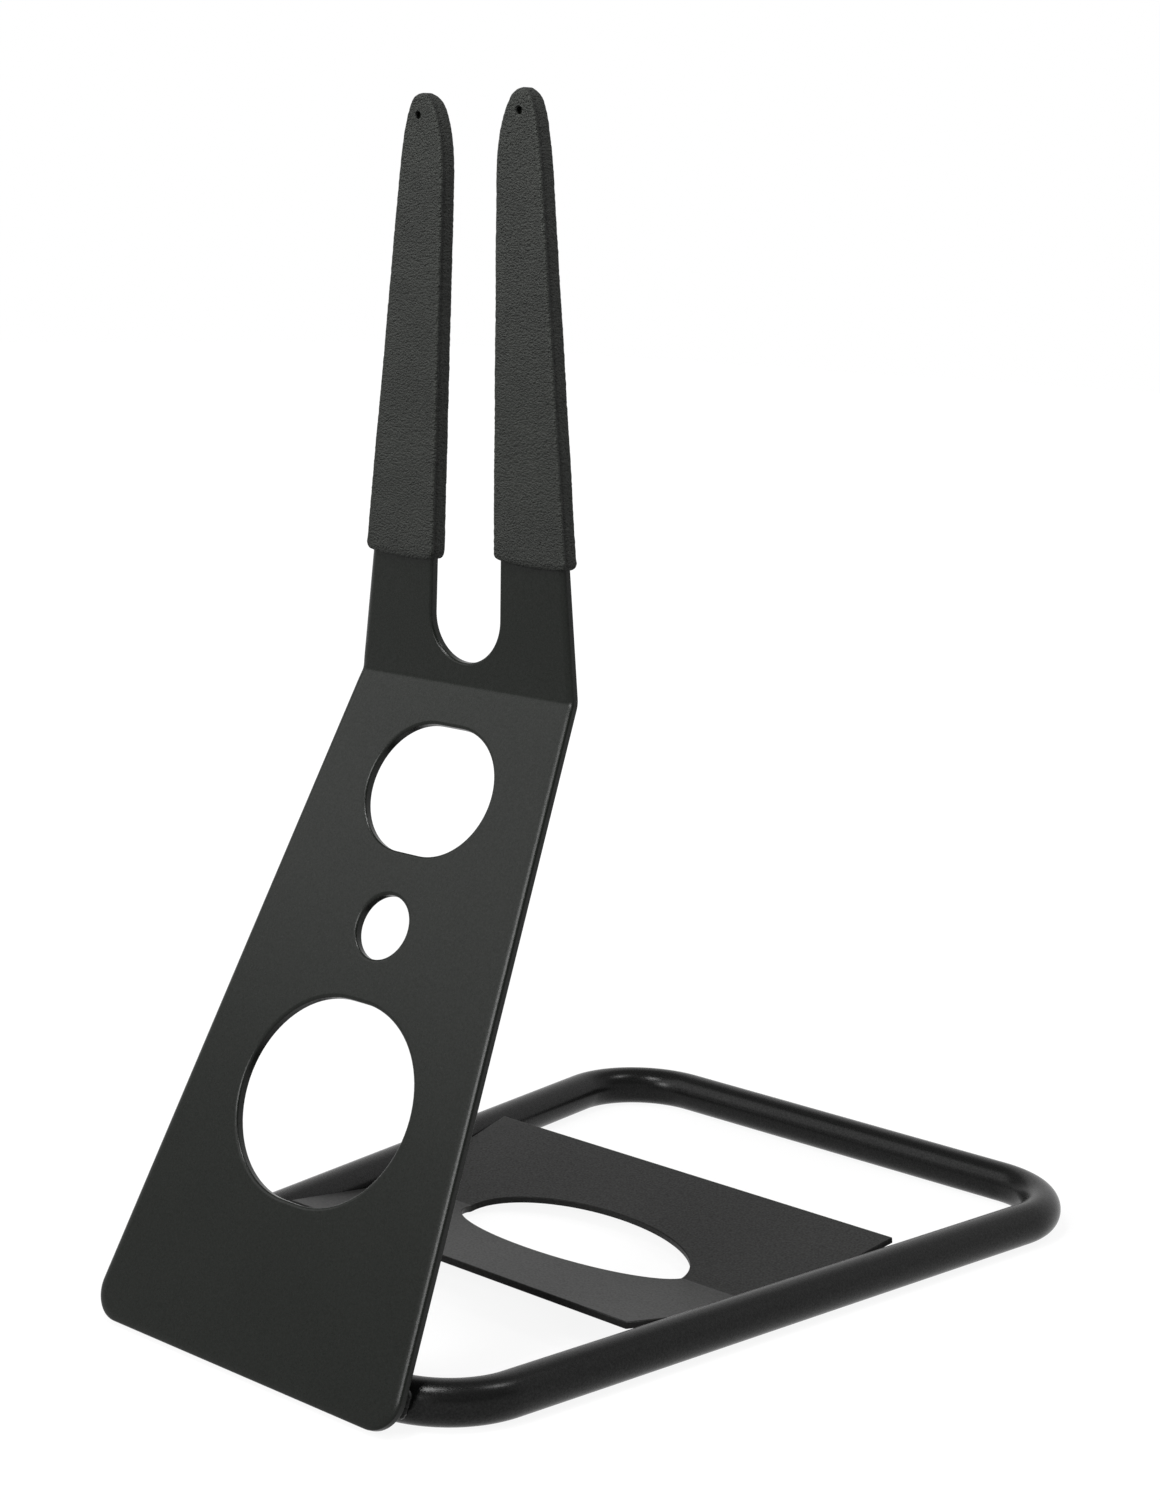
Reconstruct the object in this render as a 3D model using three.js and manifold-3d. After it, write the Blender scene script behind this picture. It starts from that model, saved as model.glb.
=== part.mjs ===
// Floor bike rack: a bent steel upright with two sleeved prongs stands on a loop of round tube,
// and a folded plate across the loop makes a shallow trough for the tyre.
//
// Millimetres, +Z up. X runs along the wheel's line, -Y is the side that the upright's face
// looks to, and the origin lies on the floor under the middle of the rack.

import * as THREE from 'three';
import { mergeVertices } from 'three/addons/utils/BufferGeometryUtils.js';
import Module from 'manifold-3d';

const wasm = await Module();
wasm.setup();

// ---------------------------------------------------------------- driving dimensions

// Base loop, one bent tube. Widths are on the centreline, between the sharp corners.
const tubeDiameter = 18;
const loopFrontWidth = 186;
const loopBackWidth = 269;
const loopDepth = 379;
const loopBendRadius = 38;

// Upright, one sheet cut flat and bent once. Lengths run up its front face, and leans are
// degrees back from plumb.
const uprightThickness = 4;
const uprightEdgeRound = 0.8;
const footWidth = 170;
const footCornerRadius = 13;
const toeClearance = 1.1;     // lowest edge above the floor
const kneeWidth = 114;
const kneeInsideRadius = 3;
const shinLength = 280;       // bottom edge to the knee line
const shinLean = 24.9;
const prongLean = -1.2;

// Prongs, measured up from the knee line.
const prongLength = 227.5;
const prongTipLength = 31.5;  // rounded tip, above the straight edges
const prongTipWidth = 18.8;   // one prong, where its tip starts
const prongTipSpacing = 32.4; // between the prongs, where their tips start
const prongPeakShift = 0.4;   // highest point of a tip, out from its middle
const slotWidth = 36.8;
const slotBottom = 8.8;

// Openings in the upright: two wide slots with round ends and a plain hole between them.
const openingWeb = 17.4;      // sheet left between the openings, and up to the knee line
const topSlotWidth = 64.8;
const topSlotHeight = 53;
const smallHoleDiameter = 26.2;
const bottomSlotWidth = 89.4;
const bottomSlotHeight = 81;

// Prong sleeves, soft and stretched over the prongs.
const sleeveWall = 1.8;
const sleeveStart = 50;
const sleeveEdgeRadius = 3;
const sleeveHoleDiameter = 3;
const sleeveHoleDrop = 9;     // sleeve tip to the small hole

// Tyre trough, one folded sheet between the sides of the loop.
const troughThickness = 3;
const troughEdgeRound = 0.5;
const troughCentre = 181.4;   // fold line behind the loop's front centreline
const troughFlank = 79.3;     // fold line to either long edge
const troughRise = 12.5;      // long edges above the fold line
const troughClearance = 2;    // lowest line of the sheet above the floor
const troughFoldRadius = 3;
const troughHoleLength = 120;
const troughHoleWidth = 62;

// Weld beads.
const beadRadius = 3.2;
const beadPitch = 2.6;
const beadRipple = 0.14;      // depth of a ripple, for each millimetre of bead radius
const seamBeadRadius = 1.5;
const stitchLength = 34;
const stitchCentre = 38;      // middle of an upright stitch, out from the middle of the rack
const edgeWeldLength = 13;
const edgeWeldHeight = 8.4;
const edgeWeldDepth = 9;
const edgeWeldInset = 6;      // middle of the edge weld, in from the upright's side edge
const troughWeldLength = 22;

// Fits.
const gap = 0.3;              // between pieces that touch

// Smoothness.
const tubeSides = 28;
const bendSteps = 10;
const arcSteps = 9;
const foldSteps = 3;
const easeSteps = 2;          // across the eased edge of a sheet
const sleeveEdgeSteps = 4;
const sleeveHoleSides = 16;
const beadSides = 10;
const ringsPerRipple = 2;
const blobSides = 14;
const mergeTolerance = 1e-4;

// ---------------------------------------------------------------- materials

const paint = new THREE.MeshStandardMaterial({ color: 0x3a3b39, roughness: 0.5, metalness: 0.1 });
const tubePaint = new THREE.MeshStandardMaterial({ color: 0x343534, roughness: 0.42, metalness: 0.1 });
const rubber = new THREE.MeshStandardMaterial({ color: 0x42433f, roughness: 0.85, metalness: 0 });

// ---------------------------------------------------------------- solids

/** Keeps only the shared corner points of a geometry, as a closed mesh. */
function welded(geometry) {
  const bare = geometry.clone();
  bare.deleteAttribute('normal');
  bare.deleteAttribute('uv');
  return mergeVertices(bare, mergeTolerance);
}

function toSolid(geometry, matrix = new THREE.Matrix4()) {
  const mesh = welded(geometry).applyMatrix4(matrix);
  const vertProperties = new Float32Array(mesh.attributes.position.array);
  const triVerts = new Uint32Array(mesh.index.array);
  return new wasm.Manifold(new wasm.Mesh({ numProp: 3, vertProperties, triVerts }));
}

function toGeometry(solid) {
  const { vertProperties, triVerts, numProp } = solid.getMesh();
  const geometry = new THREE.BufferGeometry();
  const positions = new Float32Array((vertProperties.length / numProp) * 3);
  for (let i = 0; i < positions.length; i += 1) {
    positions[i] = vertProperties[Math.floor(i / 3) * numProp + (i % 3)];
  }
  geometry.setAttribute('position', new THREE.BufferAttribute(positions, 3));
  geometry.setIndex(new THREE.BufferAttribute(new Uint32Array(triVerts), 1));
  geometry.computeVertexNormals();
  return geometry;
}

function cutAway(solid, ...tools) {
  return tools.reduce((rest, tool) => rest.subtract(tool), solid);
}

function piece(name, geometry, material) {
  const mesh = new THREE.Mesh(geometry, material);
  mesh.name = name;
  return mesh;
}

// ---------------------------------------------------------------- bent tube

/** A level route of straight runs and round bends, with stations only where it turns. */
class BentRoute extends THREE.Curve {
  constructor(corners, radius, steps) {
    super();
    const last = corners.length - 1;
    this.stations = [this.station(corners[0], corners[1].clone().sub(corners[0]))];
    for (let i = 1; i < last; i += 1) {
      this.addBend(corners[i - 1], corners[i], corners[i + 1], radius, steps);
    }
    this.stations.push(this.station(corners[last], corners[last].clone().sub(corners[last - 1])));
  }

  station(point, heading) {
    return { point: point.clone(), heading: heading.clone().normalize() };
  }

  addBend(before, corner, after, radius, steps) {
    const arriving = corner.clone().sub(before).normalize();
    const leaving = after.clone().sub(corner).normalize();
    const turn = Math.asin(new THREE.Vector3().crossVectors(arriving, leaving).z);
    const swing = arriving.dot(leaving) < 0 ? Math.PI - turn : turn;
    const setback = radius * Math.tan(swing / 2);
    const start = corner.clone().addScaledVector(arriving, -setback);
    const centre = start.clone().add(new THREE.Vector3(-arriving.y, arriving.x, 0).multiplyScalar(radius));
    const up = new THREE.Vector3(0, 0, 1);
    for (let k = 0; k <= steps; k += 1) {
      const angle = (swing * k) / steps;
      const point = start.clone().sub(centre).applyAxisAngle(up, angle).add(centre);
      this.stations.push(this.station(point, arriving.clone().applyAxisAngle(up, angle)));
    }
  }

  stationAt(share) {
    return this.stations[Math.round(share * (this.stations.length - 1))];
  }

  getPoint(t) {
    return this.stationAt(t).point.clone();
  }

  getPointAt(u) {
    return this.getPoint(u);
  }

  getTangentAt(u) {
    return this.stationAt(u).heading.clone();
  }
}

/** A regular polygon with flats, not corners, at its top and bottom, round a circle. */
function roundSection(radius, sides) {
  const reach = radius / Math.cos(Math.PI / sides);
  const corner = (k) => ((k + 0.5) * 2 * Math.PI) / sides;
  const points = Array.from({ length: sides }, (_, k) => (
    new THREE.Vector2(reach * Math.cos(corner(k)), reach * Math.sin(corner(k)))
  ));
  return new THREE.Shape(points);
}

const tubeRadius = tubeDiameter / 2;
const frontReach = loopFrontWidth / 2;
const backReach = loopBackWidth / 2;

/** The tube's round bar, from one side of the seam behind the upright to the other. */
function loopGeometry(radius) {
  const route = new BentRoute([
    new THREE.Vector3(gap / 2, 0, 0),
    new THREE.Vector3(frontReach, 0, 0),
    new THREE.Vector3(backReach, loopDepth, 0),
    new THREE.Vector3(-backReach, loopDepth, 0),
    new THREE.Vector3(-frontReach, 0, 0),
    new THREE.Vector3(-gap / 2, 0, 0),
  ], loopBendRadius, bendSteps);
  return new THREE.ExtrudeGeometry(roundSection(radius, tubeSides), {
    steps: route.stations.length - 1,
    extrudePath: route,
  });
}

/** Where the side of the loop runs, on its centreline, at a distance behind its front. */
function sideAt(behind) {
  return frontReach + ((backReach - frontReach) * behind) / loopDepth;
}

const sideSplay = Math.atan((backReach - frontReach) / loopDepth);

// ---------------------------------------------------------------- sheet metal

/** Rounds the corner of a path that arrives from its current point and leaves for next. */
function roundedCorner(path, corner, next, radius) {
  const toBefore = path.currentPoint.clone().sub(corner).normalize();
  const toNext = next.clone().sub(corner).normalize();
  const halfAngle = Math.acos(toBefore.dot(toNext)) / 2;
  const setback = radius / Math.tan(halfAngle);
  const start = corner.clone().addScaledVector(toBefore, setback);
  const end = corner.clone().addScaledVector(toNext, setback);
  const bisector = toBefore.clone().add(toNext).normalize();
  const centre = corner.clone().addScaledVector(bisector, radius / Math.sin(halfAngle));
  const clockwise = toBefore.cross(toNext) > 0;
  path.lineTo(start.x, start.y);
  path.absarc(centre.x, centre.y, radius, start.clone().sub(centre).angle(),
    end.clone().sub(centre).angle(), clockwise);
}

/** A slot across the sheet with round ends, or a plain hole when width equals height. */
function roundEndedSlot(width, height, centre) {
  const radius = height / 2;
  const reach = (width - height) / 2;
  const slot = new THREE.Path();
  slot.absarc(reach, centre, radius, -Math.PI / 2, Math.PI / 2, false);
  slot.absarc(-reach, centre, radius, Math.PI / 2, 1.5 * Math.PI, false);
  return slot;
}

/** Cuts a flat blank of the given thickness, centred on its mid-plane, with eased edges. */
function cutBlank(shape, thickness, ease) {
  const blank = new THREE.ExtrudeGeometry(shape, {
    curveSegments: arcSteps,
    depth: thickness - 2 * ease,
    bevelThickness: ease,
    bevelSize: ease,
    bevelOffset: -ease,
    bevelSegments: easeSteps,
  });
  return welded(blank.translate(0, 0, ease - thickness / 2));
}

/** Splits every triangle of a blank that crosses a level line, so that it can fold there. */
function scoreAcross(blank, level) {
  const flat = Array.from(blank.attributes.position.array);
  const points = Array.from({ length: flat.length / 3 }, (_, i) => flat.slice(3 * i, 3 * i + 3));
  const triangles = [];
  const cuts = new Map();
  const height = (i) => (Math.abs(points[i][1] - level) < mergeTolerance ? 0 : points[i][1] - level);
  const cut = (a, b) => {
    const [low, high] = a < b ? [a, b] : [b, a];
    const key = `${low}_${high}`;
    if (!cuts.has(key)) {
      const share = height(low) / (height(low) - height(high));
      points.push(points[low].map((value, axis) => value + share * (points[high][axis] - value)));
      cuts.set(key, points.length - 1);
    }
    return cuts.get(key);
  };
  const index = blank.index.array;
  for (let i = 0; i < index.length; i += 3) {
    let [a, b, c] = [index[i], index[i + 1], index[i + 2]];
    const crosses = (p, q) => height(p) * height(q) < 0;
    if (!crosses(a, b) && !crosses(b, c) && !crosses(c, a)) {
      triangles.push(a, b, c);
      continue;
    }
    while (!crosses(a, b) || crosses(b, c)) {
      [a, b, c] = [b, c, a];
    }
    // Here the line crosses a-b, and passes through c or crosses c-a.
    const ab = cut(a, b);
    if (height(c) === 0) {
      triangles.push(a, ab, c, ab, b, c);
      continue;
    }
    const ca = cut(c, a);
    triangles.push(a, ab, ca, ab, b, c, ab, c, ca);
  }
  const scored = new THREE.BufferGeometry();
  scored.setAttribute('position', new THREE.BufferAttribute(new Float32Array(points.flat()), 3));
  scored.setIndex(triangles);
  return scored;
}

/**
 * Lengths of a one-fold sheet. The heading is the angle of its first leg above +Y, and the
 * fold turns it anticlockwise, seen with +Y to the right, round an inside radius.
 */
function foldPlan({ firstLeg, heading, turn, insideRadius, thickness }) {
  const setback = insideRadius * Math.tan(turn / 2);
  const foldStart = firstLeg - setback;
  const foldEnd = foldStart + (insideRadius + thickness / 2) * turn;
  return {
    heading, turn, foldStart, foldEnd, midRadius: insideRadius + thickness / 2,
    alongSecondLeg: (length) => foldEnd + length - setback,
  };
}

/** Folds a blank that lies in X and Y, its inside face up, by the plan, into X, Y and Z. */
function foldSheet(blank, plan) {
  const { heading, turn, foldStart, foldEnd, midRadius } = plan;
  let scored = blank;
  for (let k = 0; k <= foldSteps; k += 1) {
    scored = scoreAcross(scored, foldStart + ((foldEnd - foldStart) * k) / foldSteps);
  }
  const position = scored.attributes.position;
  const along = (angle) => [Math.cos(angle), Math.sin(angle)];
  const inward = (angle) => [-Math.sin(angle), Math.cos(angle)];
  const pivot = [0, 1].map((i) => foldStart * along(heading)[i] + midRadius * inward(heading)[i]);
  for (let i = 0; i < position.count; i += 1) {
    const length = position.getY(i);
    const inside = position.getZ(i);
    const swung = THREE.MathUtils.clamp((length - foldStart) / midRadius, 0, turn);
    const straight = length - THREE.MathUtils.clamp(length, foldStart, foldEnd);
    const angle = heading + swung;
    const [y, z] = [0, 1].map((axis) => (
      pivot[axis] + straight * along(angle)[axis] + (inside - midRadius) * inward(angle)[axis]
    ));
    position.setXYZ(i, position.getX(i), y, z);
  }
  scored.computeVertexNormals();
  return scored;
}

// ---------------------------------------------------------------- upright

const radians = THREE.MathUtils.degToRad;
const shinHeading = radians(90 - shinLean);
const prongHeading = radians(90 - prongLean);
const uprightPlan = foldPlan({
  firstLeg: shinLength,
  heading: shinHeading,
  turn: prongHeading - shinHeading,
  insideRadius: kneeInsideRadius,
  thickness: uprightThickness,
});

const tipStart = prongLength - prongTipLength;
const tipInner = prongTipSpacing / 2;
const tipOuter = tipInner + prongTipWidth;
const tipPeak = (tipInner + tipOuter) / 2 + prongPeakShift;
const slotCentre = slotBottom + slotWidth / 2;

/**
 * One prong's outline, grown all round, traced from its outer edge at the level low, over the
 * tip and back down to low on its inner edge. Levels are measured up from the knee line.
 */
function traceProng(path, grow, low, levelOf) {
  const outer = (level) => grow + THREE.MathUtils.mapLinear(
    level, 0, tipStart, kneeWidth / 2, tipOuter);
  const inner = (level) => -grow + THREE.MathUtils.mapLinear(
    level, slotCentre, tipStart, slotWidth / 2, tipInner);
  const quarter = 0.5523;     // handle length that makes a quarter of an ellipse
  const tip = prongLength + grow;
  const rise = quarter * (tip - tipStart);
  const outerStart = outer(tipStart);
  const innerStart = inner(tipStart);
  path.lineTo(outer(low), levelOf(low));
  path.lineTo(outerStart, levelOf(tipStart));
  path.bezierCurveTo(outer(tipStart + rise), levelOf(tipStart + rise),
    tipPeak + quarter * (outerStart - tipPeak), levelOf(tip),
    tipPeak, levelOf(tip));
  path.bezierCurveTo(tipPeak - quarter * (tipPeak - innerStart), levelOf(tip),
    inner(tipStart + rise), levelOf(tipStart + rise),
    innerStart, levelOf(tipStart));
  path.lineTo(inner(low), levelOf(low));
}

function uprightShape() {
  const half = new THREE.Path();
  const knee = new THREE.Vector2(kneeWidth / 2, (uprightPlan.foldStart + uprightPlan.foldEnd) / 2);
  half.moveTo(0, 0);
  roundedCorner(half, new THREE.Vector2(footWidth / 2, 0), knee, footCornerRadius);
  half.lineTo(knee.x, knee.y);
  const upper = new THREE.Path();
  upper.moveTo(knee.x, knee.y);
  traceProng(upper, 0, slotCentre, uprightPlan.alongSecondLeg);
  upper.absarc(0, uprightPlan.alongSecondLeg(slotCentre), slotWidth / 2, 0, -Math.PI / 2, true);
  const right = [...half.getPoints(arcSteps), ...upper.getPoints(arcSteps).slice(1)];
  const left = right.slice(1, -1).reverse().map((p) => new THREE.Vector2(-p.x, p.y));
  const shape = new THREE.Shape([...right, ...left]);
  const openings = [
    [topSlotWidth, topSlotHeight],
    [smallHoleDiameter, smallHoleDiameter],
    [bottomSlotWidth, bottomSlotHeight],
  ];
  let top = shinLength - openingWeb;
  for (const [width, height] of openings) {
    shape.holes.push(roundEndedSlot(width, height, top - height / 2));
    top -= height + openingWeb;
  }
  return shape;
}

// The sheet leans on the front of the tube, and its bottom edge hangs below the contact line.
const shinUp = new THREE.Vector3(0, Math.cos(shinHeading), Math.sin(shinHeading));
const shinOut = new THREE.Vector3(0, -Math.sin(shinHeading), Math.cos(shinHeading));
const tubeCentre = new THREE.Vector3(0, 0, tubeRadius);
const contact = tubeCentre.clone().addScaledVector(shinOut, tubeRadius + gap);
const footOverhang = (contact.z - toeClearance) / shinUp.z;
const footMiddle = contact.clone()
  .addScaledVector(shinOut, uprightThickness / 2)
  .addScaledVector(shinUp, -footOverhang);

function makeUpright() {
  const blank = cutBlank(uprightShape(), uprightThickness, uprightEdgeRound);
  const upright = piece('upright_plate', foldSheet(blank, uprightPlan), paint);
  upright.position.copy(footMiddle);
  return upright;
}

// ---------------------------------------------------------------- sleeves

/** Local frame of the prongs: X across, Y up the front face from the knee line, Z to the front. */
const prongFrame = new THREE.Group();
prongFrame.position.copy(footMiddle)
  .addScaledVector(shinOut, uprightThickness / 2)
  .addScaledVector(shinUp, shinLength);
prongFrame.rotation.x = prongHeading;

function prongOutline(grow, low) {
  const level = (value) => value;
  const outline = new THREE.Path();
  outline.moveTo(tipPeak, low);
  traceProng(outline, grow, low, level);
  return new THREE.Shape(outline.getPoints(arcSteps));
}

/** A sock over one prong: round-edged outside, a snug pocket inside, and a hole near the tip. */
function sleeveGeometry(side) {
  const grow = gap + sleeveWall;
  const depth = uprightThickness + 2 * grow;
  const outside = new THREE.ExtrudeGeometry(prongOutline(grow, sleeveStart), {
    depth: depth - 2 * sleeveEdgeRadius,
    bevelThickness: sleeveEdgeRadius,
    bevelSize: sleeveEdgeRadius,
    bevelOffset: -sleeveEdgeRadius,
    bevelSegments: sleeveEdgeSteps,
  });
  outside.translate(0, 0, sleeveEdgeRadius - grow - uprightThickness);
  const pocketDepth = uprightThickness + 2 * gap;
  const pocket = new THREE.ExtrudeGeometry(prongOutline(gap, sleeveStart - depth), {
    depth: pocketDepth,
    bevelEnabled: false,
  });
  pocket.translate(0, 0, gap - pocketDepth);
  const holeRadius = sleeveHoleDiameter / 2;
  const hole = new THREE.CylinderGeometry(holeRadius, holeRadius, 2 * grow, sleeveHoleSides);
  hole.rotateX(Math.PI / 2).translate(tipPeak, prongLength + grow - sleeveHoleDrop, grow);
  const sleeve = cutAway(toSolid(outside), toSolid(pocket), toSolid(hole));
  const mirrored = new THREE.Matrix4().makeScale(side, 1, 1);
  return toGeometry(sleeve.transform(mirrored.elements));
}

function makeSleeve(name, side) {
  return piece(name, sleeveGeometry(side), rubber);
}

// ---------------------------------------------------------------- tyre trough

const troughAngle = Math.asin(troughRise / troughFlank);
const troughFloor = troughClearance + troughThickness / Math.cos(troughAngle);

/** The folded trough sheet, in the rack's frame, grown all round by a clearance. */
function troughGeometry(grow = 0) {
  const thickness = troughThickness + 2 * grow;
  const plan = foldPlan({
    firstLeg: troughFlank + grow,
    heading: -troughAngle,
    turn: 2 * troughAngle,
    insideRadius: troughFoldRadius - grow,
    thickness,
  });
  const run = troughFlank * Math.cos(troughAngle);
  const inset = (tubeRadius + gap) / Math.cos(sideSplay) - grow;
  const frontHalf = sideAt(troughCentre - run) - inset;
  const backHalf = sideAt(troughCentre + run) - inset;
  const end = plan.alongSecondLeg(troughFlank + grow);
  const shape = new THREE.Shape([
    new THREE.Vector2(-frontHalf, 0),
    new THREE.Vector2(frontHalf, 0),
    new THREE.Vector2(backHalf, end),
    new THREE.Vector2(-backHalf, end),
  ]);
  const hole = new THREE.Path();
  hole.absellipse(0, end / 2, troughHoleLength / 2 - grow, troughHoleWidth / 2 - grow, 0, 2 * Math.PI);
  shape.holes = [hole];
  const sheet = foldSheet(cutBlank(shape, thickness, troughEdgeRound), plan);
  const middleDrop = thickness / 2 - grow;
  return sheet.translate(0,
    troughCentre - run - grow * Math.cos(troughAngle) - middleDrop * Math.sin(troughAngle),
    troughFloor + troughRise + grow * Math.sin(troughAngle) - middleDrop * Math.cos(troughAngle));
}

// ---------------------------------------------------------------- welds

/** A rippled weld bead with round ends along X, centred on the origin. */
function beadGeometry(length, radius) {
  const rings = Math.round(length / beadPitch) * ringsPerRipple;
  const profile = Array.from({ length: rings + 1 }, (_, k) => {
    const along = (length * k) / rings;
    const fromEnd = Math.min(along, length - along, radius);
    const dome = Math.sqrt(radius ** 2 - (radius - fromEnd) ** 2);
    const wave = k % ringsPerRipple === 0 ? 1 - beadRipple : 1;
    return new THREE.Vector2(k === 0 || k === rings ? 0 : dome * wave, along - length / 2);
  });
  return new THREE.LatheGeometry(profile, beadSides).rotateZ(-Math.PI / 2);
}

/** Everything in front of the upright's back face, with a clearance. */
function uprightKeepOut() {
  const reach = 2 * shinLength;
  const keepOut = new THREE.BoxGeometry(reach, reach, reach);
  const matrix = new THREE.Matrix4().makeRotationX(shinHeading);
  const middle = footMiddle.clone().addScaledVector(shinOut, reach / 2 - uprightThickness / 2 - gap);
  return toSolid(keepOut, matrix.setPosition(middle));
}

/** The tube with a clearance all round, closed across the seam. */
function tubeKeepOut() {
  const raised = new THREE.Matrix4().makeTranslation(0, 0, tubeRadius);
  const radius = tubeRadius + gap;
  const plugLength = 4 * gap;
  const plug = new THREE.CylinderGeometry(radius, radius, plugLength, tubeSides).rotateZ(Math.PI / 2);
  return toSolid(loopGeometry(radius), raised).add(toSolid(plug, raised));
}

const onTube = tubeKeepOut();
const onUpright = uprightKeepOut();
const onTrough = toSolid(troughGeometry(gap));

/** A stitch in the nook between the top of the front tube and the back of the upright. */
function uprightStitch(side) {
  const sunk = beadRadius / 2;
  const upTheSheet = Math.sqrt(tubeRadius ** 2 - (tubeRadius - sunk) ** 2);
  const middle = tubeCentre.clone()
    .addScaledVector(shinOut, tubeRadius - sunk)
    .addScaledVector(shinUp, upTheSheet)
    .setX(side * stitchCentre);
  const bead = toSolid(beadGeometry(stitchLength, beadRadius), new THREE.Matrix4().setPosition(middle));
  return toGeometry(cutAway(bead, onTube, onUpright));
}

/** The short weld at the upright's side edge, where the tube starts to turn away. */
function uprightEdgeWeld(side) {
  const middle = tubeCentre.clone()
    .addScaledVector(shinOut, tubeRadius - edgeWeldDepth / 4)
    .setX(side * (footWidth / 2 - edgeWeldInset));
  const blob = new THREE.SphereGeometry(1 / 2, blobSides, beadSides)
    .scale(edgeWeldLength, edgeWeldHeight, edgeWeldDepth)
    .rotateX(shinHeading);
  const weld = toSolid(blob, new THREE.Matrix4().setPosition(middle));
  return toGeometry(cutAway(weld, onTube, onUpright));
}

/** A bead under the trough, where one of its flanks passes the middle of the side tube. */
function troughWeld(side, end) {
  const upTheFlank = (tubeRadius - troughFloor + troughThickness / 2) / Math.tan(troughAngle);
  const behind = troughCentre + end * upTheFlank;
  const middle = new THREE.Vector3(
    side * (sideAt(behind) - tubeRadius - beadRadius / 2), behind, tubeRadius - troughThickness);
  const turned = new THREE.Matrix4().makeRotationZ(Math.PI / 2 - side * sideSplay).setPosition(middle);
  const bead = toSolid(beadGeometry(troughWeldLength, beadRadius), turned);
  return toGeometry(cutAway(bead, onTube, onTrough));
}

/** The seam of the loop: a ring bead left over the top and back, ground off near the floor. */
function seamWeld() {
  const ring = new THREE.TorusGeometry(tubeRadius, seamBeadRadius, beadSides, tubeSides)
    .rotateY(Math.PI / 2);
  const bead = toSolid(ring, new THREE.Matrix4().setPosition(tubeCentre));
  const reach = 4 * tubeRadius;
  const box = new THREE.BoxGeometry(reach, reach, reach);
  const frontLower = new THREE.Matrix4().makeTranslation(0, -reach / 2, contact.z - reach / 2);
  const floor = new THREE.Matrix4().makeTranslation(0, 0, gap - reach / 2);
  return toGeometry(cutAway(bead, onTube, onUpright, toSolid(box, frontLower), toSolid(box, floor)));
}

// ---------------------------------------------------------------- assembly

const rack = new THREE.Group();

const loop = piece('base_loop', loopGeometry(tubeRadius), tubePaint);
loop.position.copy(tubeCentre);

prongFrame.add(makeSleeve('sleeve_left', -1), makeSleeve('sleeve_right', 1));

rack.add(
  loop,
  makeUpright(),
  prongFrame,
  piece('trough_plate', troughGeometry(), paint),
  piece('seam_weld', seamWeld(), paint),
);

for (const [sideName, side] of [['left', -1], ['right', 1]]) {
  rack.add(
    piece(`upright_stitch_${sideName}`, uprightStitch(side), paint),
    piece(`upright_edge_weld_${sideName}`, uprightEdgeWeld(side), paint),
    piece(`trough_weld_front_${sideName}`, troughWeld(side, -1), paint),
    piece(`trough_weld_back_${sideName}`, troughWeld(side, 1), paint),
  );
}

// Put the origin under the middle of the rack, between the upright's toe and the back tube.
const extent = new THREE.Box3().setFromObject(rack);
rack.position.y = -(extent.min.y + extent.max.y) / 2;

export default rack;
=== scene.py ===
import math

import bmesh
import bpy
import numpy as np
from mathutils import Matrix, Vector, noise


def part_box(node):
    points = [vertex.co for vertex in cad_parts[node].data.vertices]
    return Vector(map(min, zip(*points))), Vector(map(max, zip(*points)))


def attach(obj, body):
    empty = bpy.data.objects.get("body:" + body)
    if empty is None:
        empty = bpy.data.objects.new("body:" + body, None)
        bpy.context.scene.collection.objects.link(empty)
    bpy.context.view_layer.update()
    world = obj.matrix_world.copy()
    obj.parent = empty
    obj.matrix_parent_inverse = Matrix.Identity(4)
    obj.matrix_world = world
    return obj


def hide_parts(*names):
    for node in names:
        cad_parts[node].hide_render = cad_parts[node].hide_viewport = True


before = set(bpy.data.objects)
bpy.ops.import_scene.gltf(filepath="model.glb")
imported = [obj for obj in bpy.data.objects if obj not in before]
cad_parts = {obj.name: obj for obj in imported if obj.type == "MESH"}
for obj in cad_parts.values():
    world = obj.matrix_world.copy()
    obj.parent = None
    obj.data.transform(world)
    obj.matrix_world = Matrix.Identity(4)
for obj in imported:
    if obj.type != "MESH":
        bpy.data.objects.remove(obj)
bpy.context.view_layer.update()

# Floor bike rack: a bent, forked steel upright with two soft sleeves leans on a loop of round
# tube, and a folded sheet across the loop makes a shallow trough for the tyre.
#
# The scene is in metres, +Z up, with the upright's face towards -Y and the origin on the floor
# under the middle of the rack. Shapes are worked out in millimetres, and a mesh is turned to
# metres when it is made.

MM = 0.001


def box_mm(node):
    """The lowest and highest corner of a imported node, in millimetres."""
    low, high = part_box(node)
    return low / MM, high / MM


# ------------------------ sizes, in millimetres

# A REACH is half of a width. An edge's ease or roll is its reach along the face and its depth.

# Base loop, one bent tube, with its reaches on the centreline, between the sharp corners.
loop_low, loop_high = box_mm("base_loop")
TUBE_RADIUS = (loop_high.z - loop_low.z) / 2
LOOP_FRONT = loop_low.y + TUBE_RADIUS
LOOP_DEPTH = loop_high.y - loop_low.y - 2 * TUBE_RADIUS
LOOP_FRONT_REACH = 93.0
LOOP_BACK_REACH = 134.5
LOOP_BEND_RADIUS = 38.0
LOOP_SPLAY = math.atan((LOOP_BACK_REACH - LOOP_FRONT_REACH) / LOOP_DEPTH)
BEND_FLATTENING = 0.035  # share of the width that is lost in a bend
BEND_FLATTENING_POWER = 0.7  # under 1, so most of a bend is flattened alike

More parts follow.
